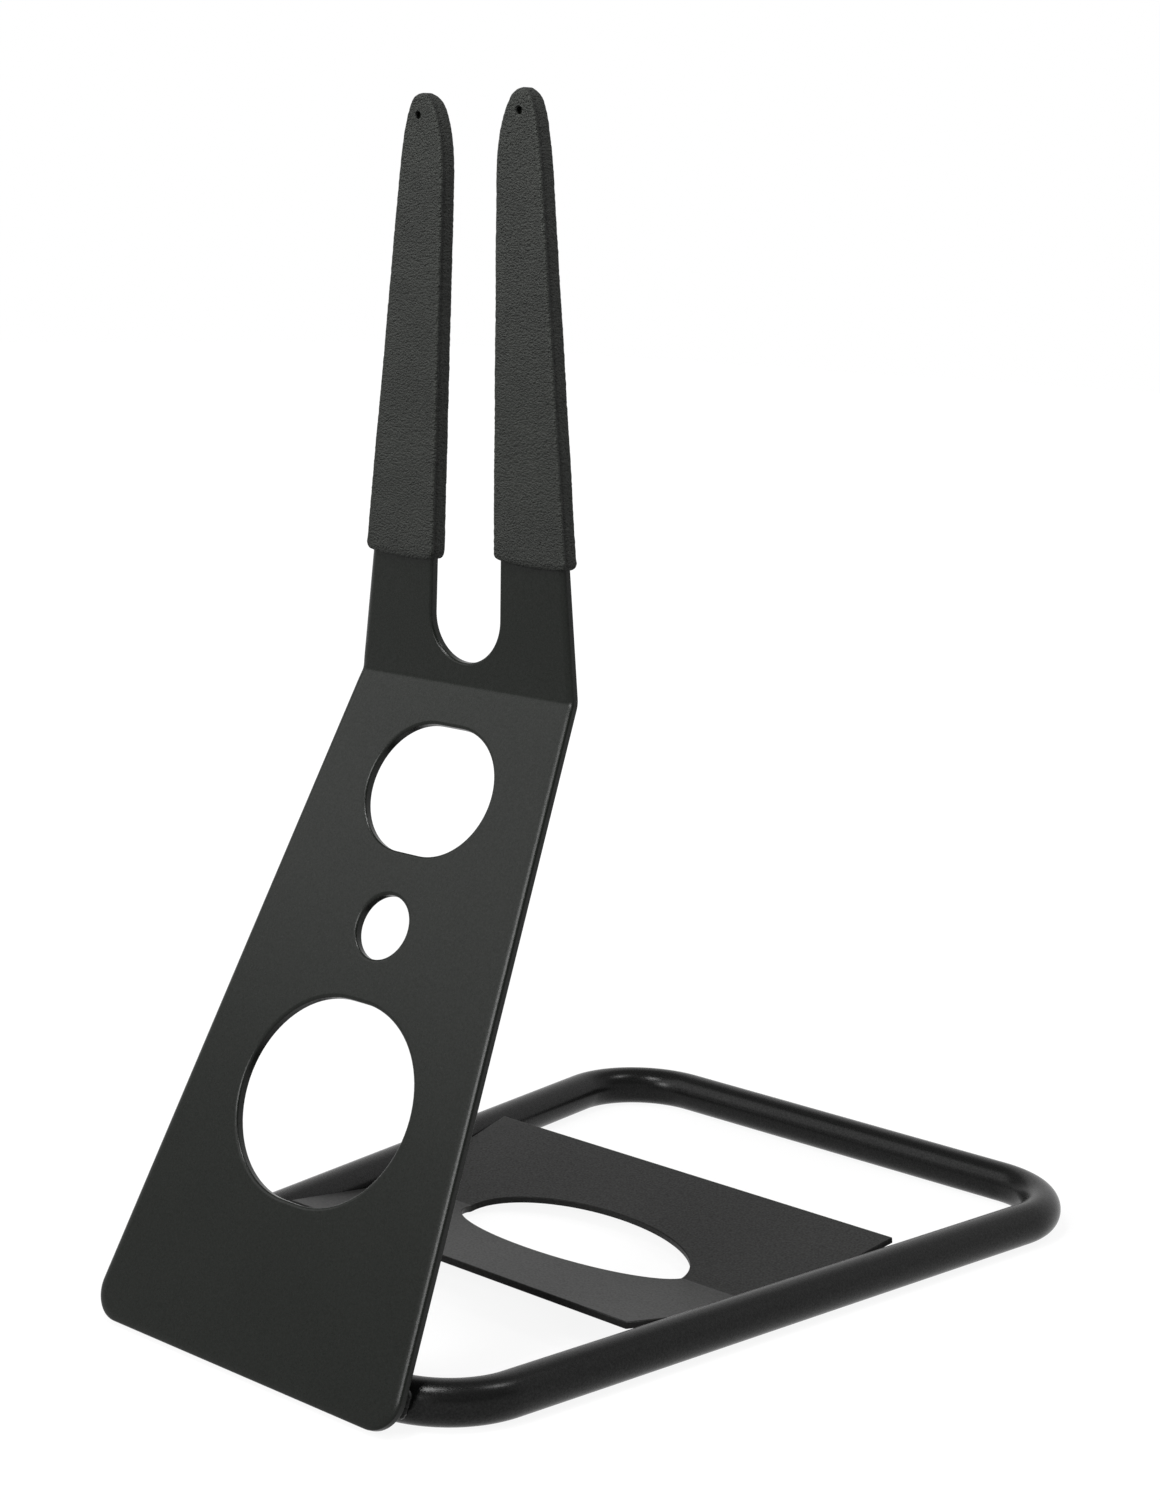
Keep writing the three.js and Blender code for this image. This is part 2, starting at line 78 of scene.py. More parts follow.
# Upright, one sheet bent once. Lengths run up its front face, and leans are back from plumb.
UPRIGHT_THICKNESS = 4.0
UPRIGHT_ROLL = (3.6, 1.3)  # front outer edge, below the knee
PRONG_ROLL = 1.5  # reach of that roll on the prongs
SLOT_ROLL = 1.1  # and in the slot
OPENING_EASE = (1.5, 0.9)
UPRIGHT_BACK_EASE = (0.7, 0.7)
FOOT_REACH = 85.0
FOOT_CORNER = 13.0
TOE_CLEARANCE = 1.1  # lowest edge above the floor
KNEE_REACH = 57.0
KNEE_INSIDE_RADIUS = 6.5
KNEE_PRESS = (0.16, 3.2)  # depth and reach of the hollow along the bend
SHIN_LENGTH = 280.0  # bottom edge to the knee line
SHIN_LEAN = math.radians(24.9)
PRONG_LEAN = math.radians(-1.2)

# Prongs, measured up from the knee line.
PRONG_LENGTH = 227.5
PRONG_TIP_LENGTH = 31.5
PRONG_TIP_WIDTH = 18.8
PRONG_TIP_INNER = 16.2  # middle of the rack to where a tip's inner edge starts
PRONG_PEAK_SHIFT = 0.4
SLOT_RADIUS = 18.4
SLOT_BOTTOM = 8.8

OPENING_WEB = 17.4  # sheet left between the openings, and up to the knee line
OPENINGS = ((64.8, 53.0), (26.2, 26.2), (89.4, 81.0))  # width and height, from the top down

# Sleeves. FRONT and BACK are measured from the middle of the prong's sheet.
SLEEVE_GROW = 2.0  # past the prong's edges at the tip
SLEEVE_MOUTH_GROW = 1.7  # and at the mouth
SLEEVE_START = 50.0
SLEEVE_FRONT = 4.1
SLEEVE_BACK = 4.8
SLEEVE_FRONT_CORNER = 1.3
SLEEVE_BACK_CORNER = 2.0
SLEEVE_LIP = 3.4
SLEEVE_LIP_TUCK = 0.85  # share of the wall
SLEEVE_TIP_FRONT = (2.4, 2.3)
SLEEVE_TIP_BACK = (5.5, 3.4)
SLEEVE_TIP_SINK = {"left": 1.5, "right": 0.0}
SLEEVE_MOUTH_RISE = {"left": (-0.8, -1.8), "right": (0.6, 1.6)}  # at the outer and inner edge
SLEEVE_MOUTH_SAG = 0.9
SLEEVE_MOUTH_REACH = 15.0  # height over which its tilt and sag die away
SLEEVE_HOLE_RADIUS = 1.5
SLEEVE_HOLE_DROP = {"left": 10.0, "right": 8.5}
SLEEVE_HOLE_SHIFT = {"left": 1.0, "right": -0.7}

# Tyre trough, one folded sheet between the sides of the loop.
TROUGH_THICKNESS = 3.0
TROUGH_EASE = (0.6, 0.45)
TROUGH_CENTRE = LOOP_FRONT + 181.4
TROUGH_FLANK = 79.3  # fold line to either long edge
TROUGH_RISE = 12.5
TROUGH_CLEARANCE = 2.0  # lowest line of the sheet above the floor
TROUGH_FOLD_RADIUS = 3.0
TROUGH_HOLE = (60.0, 31.0)  # half axes of the oval
GAP = 0.3  # between pieces that touch
SIDES = (("left", -1), ("right", 1))

# ------------------------ camera

PHOTO_WIDTH = 1160
PHOTO_HEIGHT = 1500
FOCAL_PIXELS = 2757.0
OPTICAL_CENTRE = (521.0, 767.0)
CAMERA_PLACE = (732.7, -875.3, 426.8)
CAMERA_YAW = math.radians(41.56)
CAMERA_PITCH = math.radians(10.63)
CAMERA_ROLL = math.radians(2.01)
SENSOR = 36.0


def make_camera():
    """A camera that sees the rack as the photograph does."""
    yaw, pitch, roll = CAMERA_YAW, CAMERA_PITCH, CAMERA_ROLL
    forward = Vector((
        -math.sin(yaw) * math.cos(pitch),
        math.cos(yaw) * math.cos(pitch),
        -math.sin(pitch),
    ))
    level_right = Vector((math.cos(yaw), math.sin(yaw), 0))
    level_up = level_right.cross(forward)
    right = math.cos(roll) * level_right + math.sin(roll) * level_up
    up = math.cos(roll) * level_up - math.sin(roll) * level_right
    data = bpy.data.cameras.new("camera")
    data.sensor_width = SENSOR
    data.lens = SENSOR * FOCAL_PIXELS / PHOTO_HEIGHT
    data.shift_x = (PHOTO_WIDTH / 2 - OPTICAL_CENTRE[0]) / PHOTO_HEIGHT
    data.shift_y = (OPTICAL_CENTRE[1] - PHOTO_HEIGHT / 2) / PHOTO_HEIGHT
    camera = bpy.data.objects.new("camera", data)
    camera.matrix_world = Matrix((
        (right.x, up.x, -forward.x, CAMERA_PLACE[0] * MM),
        (right.y, up.y, -forward.y, CAMERA_PLACE[1] * MM),
        (right.z, up.z, -forward.z, CAMERA_PLACE[2] * MM),
        (0, 0, 0, 1),
    ))
    bpy.context.scene.collection.objects.link(camera)
    bpy.context.scene.camera = camera


make_camera()

# ------------------------ materials

# Powder coat. Sizes of features are in millimetres, and the rest are shares.
COAT_CLOUDS = 22.0
COAT_SPECKLE = 0.7
COAT_SHEEN = 0.9
COAT_PEEL = 2.4
COAT_CLOUD_LEAST = 0.3  # least share of the light colour in a cloud, and in a speckle
COAT_SPECKLE_LEAST = 0.2
COAT_GLOSSIER = 0.012  # how far the roughness goes down and up in the speckle
COAT_DULLER = 0.015
PIMPLE_STRENGTH = 0.6

# Skin of the foam sleeves, with sizes and depths in millimetres.
FOAM_CLOUDS = 14.0
FOAM_WRINKLES = 0.62
FOAM_WRINKLE_DEPTH = 0.8
FOAM_PEBBLES = 0.8
FOAM_PEBBLE_DEPTH = 0.6
FOAM_PEBBLE_BLUR = 0.35
FOAM_STRETCH = (0.7, 0.7, 1)  # wrinkles are longer along the level than up the sleeve
FOAM_DULLER = 0.06
FOAM_SPECULAR = 0.16
# Painted light on the sleeves: a tone on each point that brightens the foam's colour as a painted
# highlight or darkens it as painted shade.
PAINTED_LIGHT_TONE = "painted_light_tone"
PAINTED_LIGHT_SHADES = (0.45, 1.55)  # brightness at a painted light tone of -1, the deepest painted shade, and 1, the brightest painted highlight


class Nodes:
    """Adds and links the shader nodes of a material or of the world."""

    def __init__(self, owner):
        owner.use_nodes = True
        self.tree = owner.node_tree

    def add(self, kind, **settings):
        """A node with its settings and its inputs' values given by name."""
        node = self.tree.nodes.new(kind)
        for key, value in settings.items():
            if hasattr(node, key):
                setattr(node, key, value)
            else:
                node.inputs[key.replace("_", " ")].default_value = value
        return node

    def link(self, source, target):
        self.tree.links.new(source, target)

    def place(self, stretch=(1, 1, 1)):
        """Object coordinates, stretched along the axes."""
        coordinates = self.add("ShaderNodeTexCoord")
        mapping = self.add("ShaderNodeMapping", Scale=stretch)
        self.link(coordinates.outputs["Object"], mapping.inputs["Vector"])
        return mapping.outputs["Vector"]

    def noise(self, vector, size, detail=2.0, roughness=0.5):
        """Noise with features of about the given size in millimetres."""
        node = self.add("ShaderNodeTexNoise", Scale=1 / (size * MM), Detail=detail, Roughness=roughness)
        self.link(vector, node.inputs["Vector"])
        return node.outputs["Fac"]

    def ramp(self, value, low, high, start=0.3, end=0.7, steps="LINEAR"):
        """Maps a number from start to end, such as noise, to a number from low to high."""
        node = self.add("ShaderNodeMapRange", interpolation_type=steps, From_Min=start, From_Max=end,
                        To_Min=low, To_Max=high)
        self.link(value, node.inputs["Value"])
        return node.outputs["Result"]

    def combine(self, operation, one, other):
        node = self.add("ShaderNodeMath", operation=operation)
        self.link(one, node.inputs[0])
        self.link(other, node.inputs[1])
        return node.outputs[0]

    def tint(self, factor, dark, light):
        """Mixes two colours by a number from 0 to 1."""
        node = self.add("ShaderNodeMix", data_type="RGBA")
        node.inputs["A"].default_value = (*dark, 1)
        node.inputs["B"].default_value = (*light, 1)
        self.link(factor, node.inputs["Factor"])
        return node.outputs["Result"]

    def bump(self, height, depth, strength=1.0, below=None):
        """Bump of the given depth in millimetres, over another bump if there is one."""
        node = self.add("ShaderNodeBump", Strength=strength, Distance=depth * MM)
        self.link(height, node.inputs["Height"])
        if below is not None:
            self.link(below, node.inputs["Normal"])
        return node.outputs["Normal"]


def powder_coat(name, dark, light, roughness, specular, peel=0.03, grain=0.5):
    """Satin powder coat: faint clouds of colour, orange peel, and a fine grain in its gloss."""
    material = bpy.data.materials.new(name)
    nodes = Nodes(material)
    shader = nodes.tree.nodes["Principled BSDF"].inputs
    place = nodes.place()
    clouds = nodes.noise(place, size=COAT_CLOUDS, detail=3)
    speckle = nodes.noise(place, size=COAT_SPECKLE, detail=2)
    grains = nodes.noise(place, size=COAT_SHEEN, detail=3)
    dimples = nodes.noise(place, size=COAT_PEEL, detail=1)
    mottle = nodes.combine("MULTIPLY", nodes.ramp(clouds, COAT_CLOUD_LEAST, 1),
                           nodes.ramp(speckle, COAT_SPECKLE_LEAST, 1))
    nodes.link(nodes.tint(mottle, dark, light), shader["Base Color"])
    gloss = nodes.ramp(speckle, roughness - COAT_GLOSSIER, roughness + COAT_DULLER)
    nodes.link(gloss, shader["Roughness"])
    sheen = nodes.ramp(grains, specular * (1 - grain), specular * (1 + grain))
    nodes.link(sheen, shader["Specular IOR Level"])
    pimples = nodes.bump(speckle, depth=peel / 2, strength=PIMPLE_STRENGTH)
    nodes.link(nodes.bump(dimples, depth=peel, below=pimples), shader["Normal"])
    return material


def foam_rubber(name, dark, light, roughness):
    """Soft skinned foam: a pebbled, leathery grain in short level wrinkles, and little gloss."""
    material = bpy.data.materials.new(name)
    nodes = Nodes(material)
    shader = nodes.tree.nodes["Principled BSDF"].inputs
    level_place = nodes.place(FOAM_STRETCH)
    clouds = nodes.noise(nodes.place(), size=FOAM_CLOUDS, detail=2)
    wrinkles = nodes.noise(level_place, size=FOAM_WRINKLES, detail=2, roughness=0.6)
    pebbles = nodes.add("ShaderNodeTexVoronoi", feature="SMOOTH_F1",
                        Scale=1 / (FOAM_PEBBLES * MM), Smoothness=FOAM_PEBBLE_BLUR)
    nodes.link(level_place, pebbles.inputs["Vector"])
    # The base colour is scaled by the painted light tone: painted highlight on the ridges, painted
    # shade in the valleys, on the flanks and at the tip.
    edge = nodes.add("ShaderNodeAttribute", attribute_name=PAINTED_LIGHT_TONE).outputs["Fac"]
    colour_with_painted_light = nodes.add("ShaderNodeVectorMath", operation="SCALE")
    nodes.link(nodes.tint(nodes.ramp(clouds, 0, 1), dark, light), colour_with_painted_light.inputs[0])
    nodes.link(nodes.ramp(edge, *PAINTED_LIGHT_SHADES, start=-1, end=1), colour_with_painted_light.inputs["Scale"])
    nodes.link(colour_with_painted_light.outputs[0], shader["Base Color"])
    gloss = nodes.ramp(wrinkles, roughness - FOAM_DULLER, roughness + FOAM_DULLER)
    nodes.link(gloss, shader["Roughness"])
    skin = nodes.bump(pebbles.outputs["Distance"], depth=-FOAM_PEBBLE_DEPTH)
    creases = nodes.bump(wrinkles, depth=FOAM_WRINKLE_DEPTH, below=skin)
    nodes.link(creases, shader["Normal"])
    shader["Specular IOR Level"].default_value = FOAM_SPECULAR
    return material


PAINT = powder_coat(
    "sheet_powder_coat", dark=(0.0037, 0.0047, 0.0035), light=(0.0051, 0.0062, 0.0048),
    roughness=0.28, specular=0.172, peel=0.01, grain=0.16)
TROUGH_PAINT = powder_coat(
    "trough_powder_coat", dark=(0.01, 0.01, 0.0097), light=(0.012, 0.012, 0.0115),
    roughness=0.4, specular=0.097)
TUBE_PAINT = powder_coat(
    "tube_powder_coat", dark=(0.0045, 0.0046, 0.0045), light=(0.0056, 0.0057, 0.0055),
    roughness=0.27, specular=0.155, peel=0.015, grain=0.3)
WELD_PAINT = powder_coat(
    "weld_powder_coat", dark=(0.0016, 0.0016, 0.0016), light=(0.0024, 0.0024, 0.0023),
    roughness=0.2, specular=0.12, peel=0.05)
FOAM = foam_rubber(
    "sleeve_foam_rubber", dark=(0.0184, 0.0197, 0.0179), light=(0.0222, 0.0237, 0.0214),
    roughness=0.68)

# ------------------------ meshes

FLAT_WEIGHT = 60
MERGED = 0.001  # points this close are made one after a cut


def add_piece(name, mesh, material, node):
    """Puts a finished mesh in the scene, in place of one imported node."""
    mesh.materials.append(material)
    mesh.shade_smooth()
    piece = bpy.data.objects.new(name, mesh)
    bpy.context.scene.collection.objects.link(piece)
    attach(piece, "root")
    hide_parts(node)
    return piece


def mesh_of(name, points, faces):
    """A mesh in metres from points in millimetres, with its faces turned outwards."""
    mesh = bpy.data.meshes.new(name)
    mesh.from_pydata([tuple(float(v) * MM for v in p) for p in points], [], faces)
    work = bmesh.new()
    work.from_mesh(mesh)
    face_outwards(work)
    work.to_mesh(mesh)
    work.free()
    return mesh


def face_outwards(work):
    bmesh.ops.recalc_face_normals(work, faces=work.faces)
    if work.calc_volume(signed=True) < 0:
        bmesh.ops.reverse_faces(work, faces=work.faces)


def flatten_normals(piece):
    """Keeps large flat faces flat where their edges are eased."""
    modifier = piece.modifiers.new("flat_faces", "WEIGHTED_NORMAL")
    modifier.mode = "FACE_AREA"
    modifier.weight = FLAT_WEIGHT
    modifier.keep_sharp = False


def apply_modifiers(piece):
    """Bakes a piece's modifiers into its mesh."""
    graph = bpy.context.evaluated_depsgraph_get()
    baked = bpy.data.meshes.new_from_object(piece.evaluated_get(graph))
    piece.modifiers.clear()
    old = piece.data
    piece.data = baked
    bpy.data.meshes.remove(old)
    work = bmesh.new()
    work.from_mesh(baked)
    bmesh.ops.remove_doubles(work, verts=work.verts, dist=MERGED * MM)
    bmesh.ops.dissolve_degenerate(work, edges=work.edges, dist=MERGED * MM)
    work.to_mesh(baked)
    work.free()
    baked.shade_smooth()


def stacked_rings(rings, closed_way=False):
    """Quads between equal rings of points, capped at both ends unless they run round again."""
    count = len(rings[0])
    faces = []
    spans = len(rings) if closed_way else len(rings) - 1
    for k in range(spans):
        low, high = k * count, ((k + 1) % len(rings)) * count
        for i in range(count):
            j = (i + 1) % count
            faces.append((low + i, low + j, high + j, high + i))
    if not closed_way:
        faces.append(tuple(range(count - 1, -1, -1)))
        faces.append(tuple(range((len(rings) - 1) * count, len(rings) * count)))
    return np.concatenate(rings), faces


# ------------------------ bent tube

TUBE_SIDES = 72
BEND_STEPS = 30
STRAIGHT_STEPS = 24


def unit(vector):
    return vector / np.linalg.norm(vector)


def loop_stations():
    """Points, headings and bend shares along the loop's centreline, anticlockwise."""
    back = LOOP_FRONT + LOOP_DEPTH
    corners = [
        np.array((LOOP_FRONT_REACH, LOOP_FRONT)),
        np.array((LOOP_BACK_REACH, back)),
        np.array((-LOOP_BACK_REACH, back)),
        np.array((-LOOP_FRONT_REACH, LOOP_FRONT)),
    ]
    stations = []
    for k, corner in enumerate(corners):
        arriving = unit(corner - corners[k - 1])
        leaving = unit(corners[(k + 1) % 4] - corner)
        swing = math.acos(np.dot(arriving, leaving))
        setback = LOOP_BEND_RADIUS * math.tan(swing / 2)
        start = corner - setback * arriving
        inward = np.array((-arriving[1], arriving[0]))
        centre = start + LOOP_BEND_RADIUS * inward
        if stations:
            stations += straight_run(stations[-1][0], start, arriving)
        for step in range(BEND_STEPS + 1):
            angle = swing * step / BEND_STEPS
            turn = np.array(((math.cos(angle), -math.sin(angle)), (math.sin(angle), math.cos(angle))))
            share = math.sin(math.pi * step / BEND_STEPS) ** BEND_FLATTENING_POWER
            stations.append((centre + turn @ (start - centre), turn @ arriving, share))
    first = stations[0]
    stations += straight_run(stations[-1][0], first[0], first[1])
    return stations


def straight_run(start, end, heading):
    """The stations between two points, without the points themselves."""
    return [(start + (end - start) * k / STRAIGHT_STEPS, heading, 0.0)
            for k in range(1, STRAIGHT_STEPS)]


def make_loop():
    """The base tube, a little flattened in its bends."""
    rings = []
    for point, heading, share in loop_stations():
        outward = np.array((heading[1], -heading[0]))
        across = TUBE_RADIUS * (1 - BEND_FLATTENING * share)
        ring = []
        for side in range(TUBE_SIDES):
            angle = 2 * math.pi * side / TUBE_SIDES
            sideways = point + across * math.cos(angle) * outward
            ring.append((*sideways, TUBE_RADIUS * (1 + math.sin(angle))))
        rings.append(ring)
    mesh = mesh_of("loop_tube", *stacked_rings(rings, closed_way=True))
    add_piece("loop_tube", mesh, TUBE_PAINT, "base_loop")


# ------------------------ folded sheets

ARC_STEPS = 22
OVAL_STEPS = 8 * ARC_STEPS
FOLD_STEPS = 8
EASE_STEPS = 7
SAME_POINT = 1e-3
SAME_LEVEL = 1e-4
PRESS_SPREAD = 3  # reaches of the bend's hollow that get fine steps beside it


def arc(centre, radius, start, end, steps=ARC_STEPS):
    """Points on an arc between two angles in degrees."""
    angles = np.radians(np.linspace(start, end, steps + 1))
    return [(centre[0] + radius * math.cos(a), centre[1] + radius * math.sin(a)) for a in angles]


def bezier(a, b, c, d, steps=ARC_STEPS):
    """Points on a cubic curve with two ends and two handles."""
    a, b, c, d = (np.array(p, float) for p in (a, b, c, d))
    return [(1 - t) ** 3 * a + 3 * t * (1 - t) ** 2 * b + 3 * t * t * (1 - t) * c + t ** 3 * d
            for t in np.linspace(0, 1, steps + 1)]


def round_ended_slot(width, height, level):
    """A slot across the sheet, clockwise, so that the sheet lies on its left."""
    reach, radius = (width - height) / 2, height / 2
    points = arc((reach, level), radius, 90, -90, 2 * ARC_STEPS)
    points += arc((-reach, level), radius, 270, 90, 2 * ARC_STEPS)
    return without_repeats(points)


def without_repeats(points):
    """Drops points that lie on the one before them, round a closed outline."""
    points = [np.array(p, float) for p in points]
    return np.array([p for k, p in enumerate(points) if np.linalg.norm(p - points[k - 1]) > SAME_POINT])


def rounded_corner(before, corner, after, radius, steps=ARC_STEPS):
    """Points round a corner, on an arc that touches both of its sides."""
    before, corner, after = (np.array(p, float) for p in (before, corner, after))
    to_before, to_after = unit(before - corner), unit(after - corner)
    half_angle = math.acos(np.dot(to_before, to_after)) / 2
    centre = corner + unit(to_before + to_after) * radius / math.sin(half_angle)
    start = corner + to_before * radius / math.tan(half_angle) - centre
    end = corner + to_after * radius / math.tan(half_angle) - centre
    swing = math.atan2(start[0] * end[1] - start[1] * end[0], np.dot(start, end))
    first = math.atan2(start[1], start[0])
    return [centre + radius * np.array((math.cos(a), math.sin(a)))
            for a in (first + swing * k / steps for k in range(steps + 1))]


def moved_left(loop, distance):
    """The closed outline moved to its left, square to each of its sides, by one or more distances."""
    ahead = np.roll(loop, -1, axis=0) - loop
    ahead /= np.linalg.norm(ahead, axis=1, keepdims=True)
    left = np.column_stack((-ahead[:, 1], ahead[:, 0]))
    left_before = np.roll(left, 1, axis=0)
    share = 1 + np.sum(left * left_before, axis=1, keepdims=True)
    distance = np.broadcast_to(distance, len(loop))[:, None]
    return loop + distance * (left + left_before) / share


def edge_profile(thickness, front, back):
    """Insets and heights of a sheet's edge, from its front face to its back.

    Each ease is a quarter of an ellipse, given as its reach along the face and its depth.
    """
    quarter = [math.pi / 2 * k / EASE_STEPS for k in range(EASE_STEPS + 1)]
    rows = [(front[0] * (1 - math.sin(a)), thickness / 2 - front[1] * (1 - math.cos(a)))
            for a in quarter]
    rows += [(back[0] * (1 - math.sin(a)), back[1] * (1 - math.cos(a)) - thickness / 2)
             for a in reversed(quarter)]
    return rows


def directions(angle):
    """The direction at an angle from +Y towards +Z, and the one square to it on its left."""
    along = np.array((math.cos(angle), math.sin(angle)))
    return along, np.array((-along[1], along[0]))


class Fold:
    """A sheet's one bend. Its first leg rises by heading from +Y, and the bend turns it up."""

    def __init__(self, first_leg, heading, turn, inside_radius, thickness, press=(0, 1)):
        self.heading, self.turn = heading, turn
        self.press_depth, self.press_reach = press
        self.middle_radius = inside_radius + thickness / 2
        self.setback = inside_radius * math.tan(turn / 2)
        self.start = first_leg - self.setback
        self.end = self.start + self.middle_radius * turn

    def along_second_leg(self, length):
        """Where a length up the second leg from the fold line lies on the flat sheet."""
        return self.end + length - self.setback

    def place(self, x, length, inside, foot):
        """Where a point of the flat sheet goes. The bending tool leaves a hollow along the bend."""
        if inside > 0:
            from_middle = (length - (self.start + self.end) / 2) / self.press_reach
            inside -= self.press_depth * math.exp(-from_middle ** 2)
        swung = min(max((length - self.start) / self.middle_radius, 0), self.turn)
        straight = length - min(max(length, self.start), self.end)
        along, inward = directions(self.heading + swung)
        first_along, first_inward = directions(self.heading)
        pivot = self.start * first_along + self.middle_radius * first_inward
        y, z = pivot + straight * along + (inside - self.middle_radius) * inward
        return x + foot[0], y + foot[1], z + foot[2]

    def levels(self):
        """Where the flat sheet is split across, close together in the bend and beside it."""
        spread = PRESS_SPREAD * self.press_reach
        return (*np.linspace(self.start - spread, self.start, FOLD_STEPS, endpoint=False),
                *np.linspace(self.start, self.end, FOLD_STEPS, endpoint=False),
                *np.linspace(self.end, self.end + spread, FOLD_STEPS))


def folded_sheet(name, loops, fold, foot):
    """A sheet cut to its outlines and folded, as a mesh in metres.

    Each outline comes with its edge's profile, and with how far that edge reaches onto the
    front face at each of its points, as a share of the profile's own reach.
    """
    work = bmesh.new()
    rims = ([], [])
    for loop, profile, shares in loops:
        rings = []
        for inset, height in profile:
            share = shares if height > 0 else 1
            rings.append([work.verts.new((*p, height)) for p in moved_left(loop, inset * share)])
        for low, high in zip(rings, rings[1:]):
            for i in range(len(low)):
                work.faces.new((low[i - 1], low[i], high[i], high[i - 1]))
        for rim, ring in zip(rims, (rings[0], rings[-1])):
            rim += [work.edges.get((ring[i - 1], ring[i])) for i in range(len(ring))]
    for rim in rims:
        bmesh.ops.triangle_fill(work, use_beauty=True, edges=rim)
    for level in fold.levels():
        bmesh.ops.bisect_plane(work, geom=[*work.verts, *work.edges, *work.faces], dist=SAME_LEVEL,
                               plane_co=(0, level, 0), plane_no=(0, 1, 0))
    for vertex in work.verts:
        vertex.co = Vector(fold.place(*vertex.co, foot)) * MM
    face_outwards(work)
    mesh = bpy.data.meshes.new(name)
    work.to_mesh(mesh)
    work.free()
    return mesh


# ------------------------ upright

SHIN_HEADING = math.pi / 2 - SHIN_LEAN
PRONG_HEADING = math.pi / 2 - PRONG_LEAN
SHIN_UP = Vector((0, math.cos(SHIN_HEADING), math.sin(SHIN_HEADING)))
SHIN_OUT = Vector((0, -math.sin(SHIN_HEADING), math.cos(SHIN_HEADING)))
TUBE_CENTRE = Vector((0, LOOP_FRONT, TUBE_RADIUS))
CONTACT = TUBE_CENTRE + (TUBE_RADIUS + GAP) * SHIN_OUT
FOOT_OVERHANG = (CONTACT.z - TOE_CLEARANCE) / SHIN_UP.z
FOOT_MIDDLE = CONTACT + UPRIGHT_THICKNESS / 2 * SHIN_OUT - FOOT_OVERHANG * SHIN_UP
KNEE_FRONT = FOOT_MIDDLE + UPRIGHT_THICKNESS / 2 * SHIN_OUT + SHIN_LENGTH * SHIN_UP
KNEE = Fold(SHIN_LENGTH, SHIN_HEADING, PRONG_HEADING - SHIN_HEADING, KNEE_INSIDE_RADIUS,
            UPRIGHT_THICKNESS, press=KNEE_PRESS)

TIP_START = PRONG_LENGTH - PRONG_TIP_LENGTH
TIP_OUTER = PRONG_TIP_INNER + PRONG_TIP_WIDTH
TIP_PEAK = (PRONG_TIP_INNER + TIP_OUTER) / 2 + PRONG_PEAK_SHIFT
SLOT_CENTRE = SLOT_BOTTOM + SLOT_RADIUS
QUARTER = 0.5523  # length of the handles that make a quarter of an ellipse
KNEE_BLEND = 6.0  # height over which the rolled edge narrows, above the knee


def prong_edges(grow):
    """The outer and inner edge of the right prong as functions of the level above the knee."""
    def outer(level):
        return grow + KNEE_REACH + (TIP_OUTER - KNEE_REACH) * level / TIP_START

    def inner(level):
        share = (level - SLOT_CENTRE) / (TIP_START - SLOT_CENTRE)
        return SLOT_RADIUS + (PRONG_TIP_INNER - SLOT_RADIUS) * share - grow

    return outer, inner


def prong_tip(grow, steps=ARC_STEPS):
    """The two curves of a tip, from the outer edge to the peak and on to the inner edge."""
    outer, inner = prong_edges(grow)
    peak = PRONG_LENGTH + grow
    rise = QUARTER * (peak - TIP_START)
    start, end = outer(TIP_START), inner(TIP_START)
    first = bezier((start, TIP_START), (outer(TIP_START + rise), TIP_START + rise),
                   (TIP_PEAK + QUARTER * (start - TIP_PEAK), peak), (TIP_PEAK, peak), steps)
    second = bezier((TIP_PEAK, peak), (TIP_PEAK - QUARTER * (TIP_PEAK - end), peak),
                    (inner(TIP_START + rise), TIP_START + rise), (end, TIP_START), steps)
    return first, second


def upright_outline():
    """The flat sheet's outline, anticlockwise from the middle of its foot."""
    knee = (KNEE_REACH, (KNEE.start + KNEE.end) / 2)
    right = rounded_corner((0, 0), (FOOT_REACH, 0), knee, FOOT_CORNER)
    right.append(knee)
    first, second = prong_tip(0)
    right += [(x, KNEE.along_second_leg(level)) for x, level in first + second]
    right += arc((0, KNEE.along_second_leg(SLOT_CENTRE)), SLOT_RADIUS, 0, -90)
    left = [(-x, y) for x, y in reversed(right)]
    return without_repeats(right + left)


def roll_shares(outline):
    """The outer edge rolls over widely below the knee, less on the prongs and least in the slot."""
    shares = []
    for x, y in outline:
        level = y - SHIN_LENGTH
        inner = abs(x) < TIP_PEAK and level > 0
        above = min(max(level / KNEE_BLEND, 0), 1)
        prong = SLOT_ROLL if inner else PRONG_ROLL
        shares.append((1 - above) + above * prong / UPRIGHT_ROLL[0])
    return np.array(shares)


def make_upright():
    """The forked sheet, with its openings set out downwards from the knee."""
    outline = upright_outline()
    outer_edge = edge_profile(UPRIGHT_THICKNESS, UPRIGHT_ROLL, UPRIGHT_BACK_EASE)
    opening_edge = edge_profile(UPRIGHT_THICKNESS, OPENING_EASE, UPRIGHT_BACK_EASE)
    loops = [(outline, outer_edge, roll_shares(outline))]
    top = SHIN_LENGTH - OPENING_WEB
    for width, height in OPENINGS:
        loops.append((round_ended_slot(width, height, top - height / 2), opening_edge, 1))
        top -= height + OPENING_WEB
    mesh = folded_sheet("upright_sheet", loops, KNEE, FOOT_MIDDLE)
    flatten_normals(add_piece("upright_sheet", mesh, PAINT, "upright_plate"))


# ------------------------ trough

def loop_side_at(y):
    """How far out the centreline of the loop's side lies, at a depth."""
    return LOOP_FRONT_REACH + (LOOP_BACK_REACH - LOOP_FRONT_REACH) * (y - LOOP_FRONT) / LOOP_DEPTH


